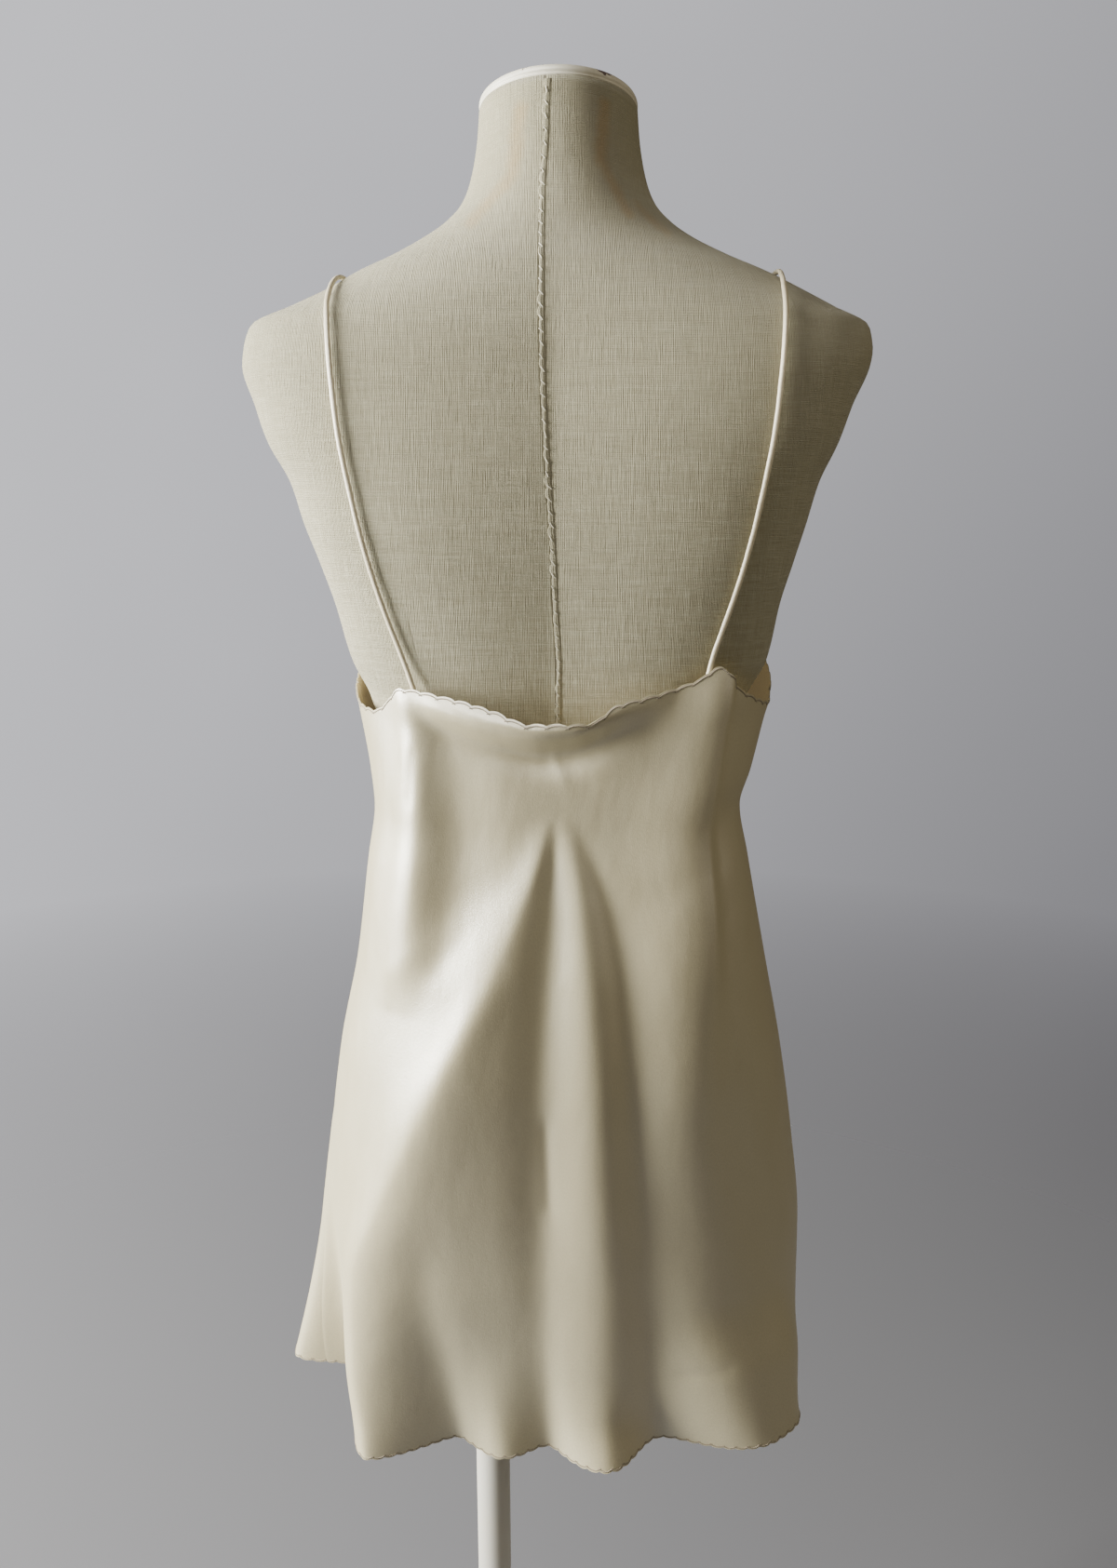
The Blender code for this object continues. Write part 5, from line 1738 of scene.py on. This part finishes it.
@dataclass
class DressForm:
    """The linen-covered torso and neck, with its hand-sewn seams."""

    shape: FormShape
    columns: int = 176
    rows: int = 210
    outline_samples: int = 2000
    seam_pitch: float = 0.0068
    seam_run: tuple[float, float] = (0.716, 1.385)
    stitch_length: float = 0.0034
    thread_radius: float = 0.00022
    stitch_aside: float = 0.0003
    stitch_lift: float = 0.0006
    stitch_drift: float = 0.0003
    stitch_slant: float = 0.75
    slant_drift: float = 0.25
    fold_run: tuple[float, float, float] = (0.714, 1.3885, 0.0009)
    fold_bulge: float = 0.0006
    bulge_drift: float = 0.0011
    bulge_roundness: float = 0.6
    wander_run: tuple[float, float, float] = (0.70, 1.41, 0.012)
    wander: float = 0.0004
    FAR = 0.05
    BACK_FROM = -0.02
    DART_FLARE = 0.4
    DARTS = (((0.0768, 1.066), (0.0900, 1.118)), ((-0.0774, 1.073), (-0.0868, 1.118)))
    FOLD_ROOT = -0.0018
    FOLD_WIDTH = 0.0023
    FOLD_EDGE = (
        (0.0005, -0.0003), (0.0005, 0.0003), (0.0001, 0.0005),
        (-0.0007, 0.0004), (-0.0018, 0.0001), (-0.0024, -0.0003),
    )
    STAINS = (
        ((-0.026, 1.384), (-0.024, 1.352), 0.0045, 0.85),
        ((-0.024, 1.352), (-0.040, 1.322), 0.0040, 0.75),
        ((0.022, 1.380), (0.026, 1.345), 0.0060, 0.62),
        ((0.026, 1.345), (0.050, 1.318), 0.0060, 0.58),
        ((-0.044, 1.330), (-0.062, 1.312), 0.0040, 0.60),
    )
    CENTRE_SEAM = SmoothTable("height sideways", (
        (0.7100, 0.0000), (1.0700, 0.0000), (1.1060, 0.0018), (1.1400, 0.0031), (1.1750, 0.0055),
        (1.2330, 0.0086), (1.2980, 0.0094), (1.3300, 0.0090), (1.3600, 0.0070), (1.3880, 0.0058),
    ))

    def cloth_places(self, angles: Array, heights: Array, points: Array) -> Array:
        """The flat place of each point of the cover, grown from the middle of the back.

        Args:
            angles: The columns' angles.
            heights: The rows' heights.
            points: The grid of points.

        Returns:
            Rows of (across, up) in metres.
        """
        steps = np.linalg.norm(np.diff(points, axis=1, append=points[:, :1]), axis=-1)
        starts = np.zeros((len(heights), 1))
        across = np.concatenate([starts, np.cumsum(steps, axis=1)[:, :-1]], axis=1)
        middle = int(np.argmin(np.abs(angles - 90.0)))
        across = across - across[:, middle:middle + 1]
        up = length_along(points[:, middle])
        return np.stack([across, np.repeat(up[:, None], len(angles), axis=1)], axis=-1)

    def seam_sideways(self, height: Array) -> Array:
        """How far the centre-back seam wanders to the wearer's left."""
        return self.CENTRE_SEAM.at("sideways", height)

    def from_seams(self, points: Array) -> tuple[Array, Array]:
        """How far each point lies from the seams of the cover.

        Args:
            points: Points of the surface in the body's frame.

        Returns:
            The signed distance to the middle seam, and the distance to the nearest dart.
        """
        x, y, z = points[..., 0], points[..., 1], points[..., 2]
        behind = y > self.BACK_FROM
        off = np.clip(x - self.seam_sideways(z), -self.FAR, self.FAR)
        middle = np.where(behind, off, self.FAR)
        dart = np.full(x.shape, self.FAR)
        for low, high in self.DARTS:
            share = np.clip((z - low[1]) / (high[1] - low[1]), -1.0, 1.0)
            past = np.maximum(z - high[1], 0.0)
            off = np.abs(x - (low[0] + share * (high[0] - low[0]))) + self.DART_FLARE * past
            dart = np.where(behind, np.minimum(dart, off), dart)
        return middle, dart

    def stain_weight(self, points: Array) -> Array:
        """Where old damp has stained the cover.

        Args:
            points: Points of the surface in the body's frame.

        Returns:
            The stain's strength at each point.
        """
        x, y, z = points[..., 0], points[..., 1], points[..., 2]
        stain = np.zeros(x.shape)
        for start, end, width, strength in self.STAINS:
            run = np.array([end[0] - start[0], end[1] - start[1]])
            along = (x - start[0]) * run[0] + (z - start[1]) * run[1]
            share = np.clip(along / (run @ run), 0.0, 1.0)
            off = np.hypot(x - start[0] - share * run[0], z - start[1] - share * run[1])
            stain = np.maximum(stain, strength * bell(off, width))
        return stain * (y > self.BACK_FROM)

    def build_cover(self) -> bpy.types.Object:
        """Builds the torso's closed surface.

        Returns:
            The cover, with a UV map in metres and its seams and stains.
        """
        table = self.shape.RINGS.values[0]
        fine = np.linspace(table[0], table[-1], self.outline_samples)
        along = length_along(np.stack([self.shape.RINGS.at("left", fine), fine], axis=-1))
        heights = np.interp(np.linspace(0.0, along[-1], self.rows), along, fine)
        angles = np.arange(self.columns) * 360.0 / self.columns
        grid = self.shape.point(*np.meshgrid(angles, heights))
        faces = closed_faces(self.columns, self.rows)
        piece = plain_object("form_cover", grid.reshape(-1, 3), faces)
        add_uv(piece.data, self.cloth_places(angles, heights, grid).reshape(-1, 2))
        middle, dart = self.from_seams(grid)
        add_weight(piece.data, "from_seam", middle.ravel())
        add_weight(piece.data, "from_dart", dart.ravel())
        add_weight(piece.data, "stain", self.stain_weight(grid).ravel())
        return piece

    def seam_places(self, heights: Array, aside: Array) -> tuple[Array, Array]:
        """Places beside the middle seam.

        Args:
            heights: Heights of the form's rings.
            aside: How far each place lies to the wearer's left of the seam.

        Returns:
            The places and their outward directions.
        """
        deep = self.shape.radius(np.full(heights.shape, 90.0), heights)
        angles = 90.0 - np.degrees(np.arcsin((self.seam_sideways(heights) + aside) / deep))
        return self.shape.point(angles, heights), self.shape.normal(angles, heights)

    def build_fold(self) -> bpy.types.Object:
        """Lays the turned edge of the right half over the left half, pulled in at each stitch.

        Returns:
            The turned edge.
        """
        drift = np.random.default_rng(11)
        heights = np.arange(*self.fold_run)
        beat = (heights - self.seam_run[0]) / self.seam_pitch
        bulge = self.fold_bulge + self.bulge_drift * drift.random(int(beat.max()) + 2)
        knots = np.arange(*self.wander_run)
        wander = np.interp(heights, knots, self.wander * drift.standard_normal(len(knots)))
        between = np.abs(np.sin(beat * math.pi)) ** self.bulge_roundness
        out = bulge[np.floor(beat).astype(int) + 1] * between + wander
        rows = []
        for aside, lift in self.FOLD_EDGE:
            share = np.clip((aside - self.FOLD_ROOT) / self.FOLD_WIDTH, 0.0, 1.0)
            here, face = self.seam_places(heights, aside + out * share)
            rows.append(here + lift * face)
        points = np.stack(rows, axis=1)
        faces = grid_faces(len(self.FOLD_EDGE), len(heights), False)
        piece = plain_object("centre_back_fold", points.reshape(-1, 3), faces)
        places = np.stack([np.tile([e[0] for e in self.FOLD_EDGE], len(heights)),
                           np.repeat(heights, len(self.FOLD_EDGE))], axis=-1)
        add_uv(piece.data, places)
        add_weight(piece.data, "from_seam", np.full(len(places), -self.FAR))
        add_weight(piece.data, "from_dart", np.full(len(places), self.FAR))
        return piece

    def build_seam(
        self, tree: bpy.types.NodeTree, material: bpy.types.Material
    ) -> bpy.types.Object:
        """Lays the hand stitches down the middle of the back.

        Args:
            tree: The stitching tree.
            material: The thread's finish.

        Returns:
            The stitches as one piece.
        """
        heights = np.arange(*self.seam_run, self.seam_pitch)
        drift = np.random.default_rng(7)
        here, faces = self.seam_places(heights, np.full(len(heights), self.stitch_aside))
        run = unit(np.gradient(here, axis=0))
        across = np.cross(faces, run)
        slants = self.stitch_slant + self.slant_drift * drift.standard_normal(len(heights))
        lies = run + slants[:, None] * across
        drifts = self.stitch_drift * drift.standard_normal(len(heights))
        places = here + self.stitch_lift * faces + drifts[:, None] * across
        return laid_stitches("centre_back_stitches", places, lies, faces, tree,
                             self.stitch_length, self.thread_radius, material)

    def make(self, finishes: Finishes, stitches: bpy.types.NodeTree) -> list[bpy.types.Object]:
        """Builds and dresses the form.

        Args:
            finishes: The object's materials.
            stitches: The stitching tree.

        Returns:
            The cover, the turned edge of its seam and the stitches.
        """
        cover = self.build_cover()
        fold = self.build_fold()
        for piece in (cover, fold):
            piece.data.materials.append(finishes.linen)
        seam = self.build_seam(stitches, finishes.thread)
        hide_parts("form_torso")
        for piece in (cover, fold, seam):
            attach(piece, BODY)
        return [cover, fold, seam]


@dataclass
class NeckCap:
    """The round painted cap that closes the neck."""

    shape: FormShape
    diameter: float = 0.0950
    height: float = 0.0068
    roll: float = 0.0036
    gap: float = 0.0003
    foot_inset: float = 0.0010
    foot_roll: float = 0.0009
    worn_inset: float = 0.0022
    worn_width: float = 0.0030
    worn_above: float = 0.45
    even_knock: float = 0.25
    sides: int = 120
    DOME = ((0.0, 0.0012), (0.35, 0.0011), (0.7, 0.0007))
    GROOVE = ((0.0, 0.0027), (0.0008, 0.0022), (0.0008, 0.0017), (0.0002, 0.0013))
    KNOCKS = ((0.95, -0.026, 0.007), (0.42, 0.018, 0.012))

    def make(self, finishes: Finishes) -> list[bpy.types.Object]:
        """Builds and dresses the cap.

        Args:
            finishes: The object's materials.

        Returns:
            The cap.
        """
        rim = self.diameter / 2
        profile = [(rim * share, self.height + rise) for share, rise in self.DOME]
        profile += rounded(rim - self.roll, self.height - self.roll, self.roll, 84.0, 0.0, 10)
        profile += [(rim - inset, height) for inset, height in self.GROOVE]
        profile += rounded(rim - self.foot_inset, self.foot_inset, self.foot_roll, 0.0, -90.0, 5)
        profile += [(0.0, 0.0)]
        cap = turned_object("painted_cap", profile, self.sides)
        top = self.shape.RINGS.values[:, -1]
        centre = top[self.shape.RINGS.names.index("centre")]
        lean = math.atan(top[self.shape.RINGS.names.index("tilt")])
        x, y, up = mesh_points(cap).T
        c, s = math.cos(lean), math.sin(lean)
        up = up + self.gap
        moved = np.stack([x + BODY_X, y * c - up * s + centre, y * s + up * c + top[0]], axis=-1)
        cap.data.vertices.foreach_set("co", moved.astype(np.float32).ravel())
        at_edge = bell(np.hypot(x, y) - rim + self.worn_inset, self.worn_width)
        at_edge = at_edge * (up > self.height * self.worn_above)
        knocks = sum(strength * bell(x - at, spread) for strength, at, spread in self.KNOCKS)
        add_weight(cap.data, "knock", at_edge * (knocks + self.even_knock))
        cap.data.materials.append(finishes.cap_paint)
        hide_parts("neck_cap")
        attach(cap, BODY)
        return [cap]


@dataclass
class Stand:
    """The painted pole and its round foot."""

    pole_diameter: float = 0.0254
    pole_bottom: float = 0.0343
    pole_top: float = 0.6997
    base_diameter: float = 0.340
    base_edge: float = 0.010
    base_rise: float = 0.016
    hub_diameter: float = 0.056
    hub_top: float = 0.034
    bore_gap: float = 0.001
    pole_edge: float = 0.0006
    hub_edge: float = 0.003
    base_roll: float = 0.005
    foot_edge: float = 0.0015
    ring_margin: float = 0.01
    pole_rings: int = 40
    pole_sides: int = 72
    base_sides: int = 144
    rim_wear: float = 0.004
    hub_wear: float = 0.003
    hub_knock: float = 0.5
    FILLET = ((0.0006, 0.008), (0.002, 0.004), (0.005, 0.0012), (0.010, 0.0))

    def make(self, finishes: Finishes) -> list[bpy.types.Object]:
        """Builds and dresses the stand.

        Args:
            finishes: The object's materials.

        Returns:
            The pole and the foot.
        """
        radius = self.pole_diameter / 2
        inner = radius - self.pole_edge
        top, bottom = self.pole_top, self.pole_bottom
        heights = np.linspace(top - self.ring_margin, bottom + self.ring_margin, self.pole_rings)
        pole = turned_object("painted_pole", [
            (0.0, top), (inner, top), (radius, top - self.pole_edge),
            *[(radius, height) for height in heights],
            (radius, bottom + self.pole_edge), (inner, bottom), (0.0, bottom),
        ], self.pole_sides)
        rim = self.base_diameter / 2
        hub = self.hub_diameter / 2
        edge, roll = self.hub_edge, self.base_roll
        profile = [(0.0, self.hub_top), (radius + self.bore_gap, self.hub_top)]
        profile += rounded(hub - edge, self.hub_top - edge, edge, 90.0, 0.0, 8)
        profile += [(hub + out, self.base_rise + up) for out, up in self.FILLET]
        profile += rounded(rim - roll, self.base_edge - roll, roll, 85.0, 0.0, 9)
        profile += [(rim, self.foot_edge), (rim - self.foot_edge, 0.0), (0.0, 0.0)]
        foot = turned_object("painted_foot", profile, self.base_sides)
        for piece, node, slot in (
            (pole, "stand_pole", "pole_paint"),
            (foot, "stand_base", "base_paint"),
        ):
            x, y, z = mesh_points(piece).T
            at_rim = bell(np.hypot(x, y) - rim, self.rim_wear)
            at_hub = self.hub_knock * bell(z - self.hub_top, self.hub_wear)
            add_weight(piece.data, "knock", at_rim + at_hub)
            piece.data.materials.append(finishes.pole_paint)
            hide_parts(node)
            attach(piece, BODY)
        return [pole, foot]


@dataclass(frozen=True)
class Lamp:
    """One soft square light."""

    name: str
    place: Place
    size: float
    power: float
    colour: Colour
    aim: Place = (BODY_X, 0.0, 0.95)
    in_reflections_only: bool = False

    def light(self) -> None:
        """Puts the light into the scene."""
        data = bpy.data.lights.new(self.name, "AREA")
        data.shape = "SQUARE"
        data.size = self.size
        data.energy = self.power
        data.color = self.colour
        lamp = place_object(self.name, data)
        lamp.location = self.place
        way = Vector(self.aim) - Vector(self.place)
        lamp.rotation_euler = way.to_track_quat("-Z", "Y").to_euler()
        lamp.visible_diffuse = not self.in_reflections_only


@dataclass
class Studio:
    """The floor, the backdrop's light and the camera."""

    camera_place: Place = (BODY_X, 0.75, 1.16)
    camera_down: float = 13.3
    film_width: float = 36.0
    lens: float = 1250.0 * 36.0 / 1685.0
    floor_colour: Colour = (0.105, 0.105, 0.114)
    floor_reach: float = 3.2
    floor_sides: int = 96
    floor_fade: tuple[float, float] = (0.7, 3.0)
    ambient_colour: Colour = (0.60, 0.52, 0.39)
    ambient_strength: float = 0.13
    backdrop_slope: Place = (1.0, 0.0, 0.62)
    backdrop_dark: Colour = (0.17, 0.167, 0.180)
    backdrop_pale: Colour = (0.86, 0.86, 0.91)
    backdrop_cloud: Colour = (0.36, 0.36, 0.385)
    LAMPS = (
        Lamp("window", (2.38, 0.36, 1.56), 1.7, 490.0, (1.0, 0.992, 0.945)),
        Lamp("overhead", (0.2, 0.9, 3.2), 1.8, 3.0, (1.0, 0.95, 0.84)),
        Lamp("skylight", (0.6, 0.9, 2.4), 1.0, 55.0, (1.0, 0.98, 0.92), (BODY_X, 0.1, 1.05), True),
        Lamp("far_side", (-2.0, 0.9, 2.0), 1.8, 15.0, (1.0, 0.90, 0.70)),
        Lamp("front", (1.6, -2.4, 1.6), 1.6, 14.0, (1.0, 0.97, 0.90)),
    )

    def build_world(self) -> None:
        """Builds the cloudy backdrop and the even light that it gives."""
        world = bpy.data.worlds.new("studio_grey")
        bpy.context.scene.world = world
        world.use_nodes = True
        sheet = NodeSheet(world.node_tree)
        ground = world.node_tree.nodes["Background"]
        way = sheet.add("ShaderNodeTexCoord").outputs["Generated"]
        clouds = sheet.fit(sheet.noise(way, 1.7, 3.0, 0.55), 0.30, 0.70)
        slope = sheet.add(
            "ShaderNodeVectorMath", {0: way, 1: self.backdrop_slope}, operation="DOT_PRODUCT")
        lit = sheet.fit(slope.outputs["Value"], -0.75, 0.55)
        shaded = sheet.blend(lit, self.backdrop_dark, self.backdrop_pale)
        seen = sheet.blend(sheet.math("MULTIPLY", clouds, 0.25), shaded, self.backdrop_cloud)
        sheet.feed(ground, {
            "Color": (*self.ambient_colour, 1.0), "Strength": self.ambient_strength})
        shown = sheet.add("ShaderNodeBackground", {"Color": seen, "Strength": 1.0})
        ray = sheet.add("ShaderNodeLightPath").outputs["Is Camera Ray"]
        both = sheet.add(
            "ShaderNodeMixShader", {0: ray, 1: ground.outputs[0], 2: shown.outputs[0]})
        sheet.feed(world.node_tree.nodes["World Output"], {"Surface": both.outputs[0]})

    def build_floor(self) -> None:
        """Lays the pale floor, which fades out into the backdrop."""
        sides = self.floor_sides
        x, y = turned_out(self.floor_reach, np.arange(sides) * 360.0 / sides)
        ring = np.stack([x, y, np.zeros(sides)], axis=-1)
        floor = plain_object("floor", ring, [tuple(range(sides))])
        made, sheet, shader = new_material("pale_floor")
        place = sheet.add("ShaderNodeTexCoord").outputs["Object"]
        far = sheet.add("ShaderNodeVectorMath", {0: place}, operation="LENGTH").outputs["Value"]
        sheet.feed(shader, {
            "Base Color": (*self.floor_colour, 1.0), "Roughness": 0.85,
            "Alpha": sheet.fit(far, *self.floor_fade, 1.0, 0.0)})
        floor.data.materials.append(made)

    def make(self) -> None:
        """Builds the floor, the lights and the camera."""
        self.build_floor()
        self.build_world()
        for lamp in self.LAMPS:
            lamp.light()
        data = bpy.data.cameras.new("camera")
        data.lens = self.lens
        data.sensor_width = self.film_width
        camera = place_object("camera", data)
        camera.location = self.camera_place
        camera.rotation_euler = (math.radians(90.0 - self.camera_down), 0.0, math.pi)
        bpy.context.scene.camera = camera


BACK_NECK = SmoothTable("angle height", (
    (4.0, 1.0540),
    (9.0, 1.0515),
    (20.0, 1.0445),
    (31.0, 1.0430),
    (36.0, 1.0480),
    (43.5, 1.0585),
    (56.0, 1.0550),
    (70.0, 1.0480),
    (82.0, 1.0412),
    (99.0, 1.0420),
    (108.0, 1.0515),
    (122.0, 1.0580),
    (131.0, 1.0645),
    (136.0, 1.0715),
    (140.0, 1.0640),
    (147.0, 1.0540),
    (160.0, 1.0455),
    (169.0, 1.0445),
    (176.0, 1.0520),
))
FRONT_NECK = SmoothTable("angle height", (
    (169.0, 1.0445),
    (176.0, 1.0520),
    (190.0, 1.0660),
    (210.0, 1.1020),
    (224.0, 1.1400),
    (236.0, 1.1630),
    (250.0, 1.1420),
    (270.0, 1.1280),
    (290.0, 1.1420),
    (304.0, 1.1630),
    (316.0, 1.1400),
    (330.0, 1.1020),
    (350.0, 1.0640),
    (364.0, 1.0540),
    (369.0, 1.0515),
))


def main() -> None:
    """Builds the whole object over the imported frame."""
    logging.basicConfig(level=logging.INFO, format="%(message)s")
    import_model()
    finishes = Finishes()
    stitches = stitch_tree()
    cords = cord_tree()
    form = FormShape()
    cloth = DressShape(form, tuple(Fold(*row) for row in FOLDS.values()), CREASES)
    Studio().make()
    made: list[bpy.types.Object] = []
    made += DressForm(form).make(finishes, stitches)
    made += NeckCap(form).make(finishes)
    made += Stand().make(finishes)
    panels = (
        DressPanel(Panel.BACK, cloth, BACK_NECK, 34, "dress_back", (0.66, 0.52), 0.245),
        DressPanel(Panel.FRONT, cloth, FRONT_NECK, 46, "dress_front", (0.66, 0.62), 0.300),
    )
    for panel in panels:
        made += panel.make(finishes, cords)
    made += Strap(Side.LEFT, form, cloth, 1.0, "strap_left").make(finishes)
    made += Strap(Side.RIGHT, form, cloth, 0.98, "strap_right").make(finishes)
    graph = bpy.context.evaluated_depsgraph_get()
    for piece in made:
        mesh = piece.evaluated_get(graph).to_mesh()
        log.info("%s: %d triangles", piece.name, sum(len(p.vertices) - 2 for p in mesh.polygons))


if __name__ == "__main__":
    main()
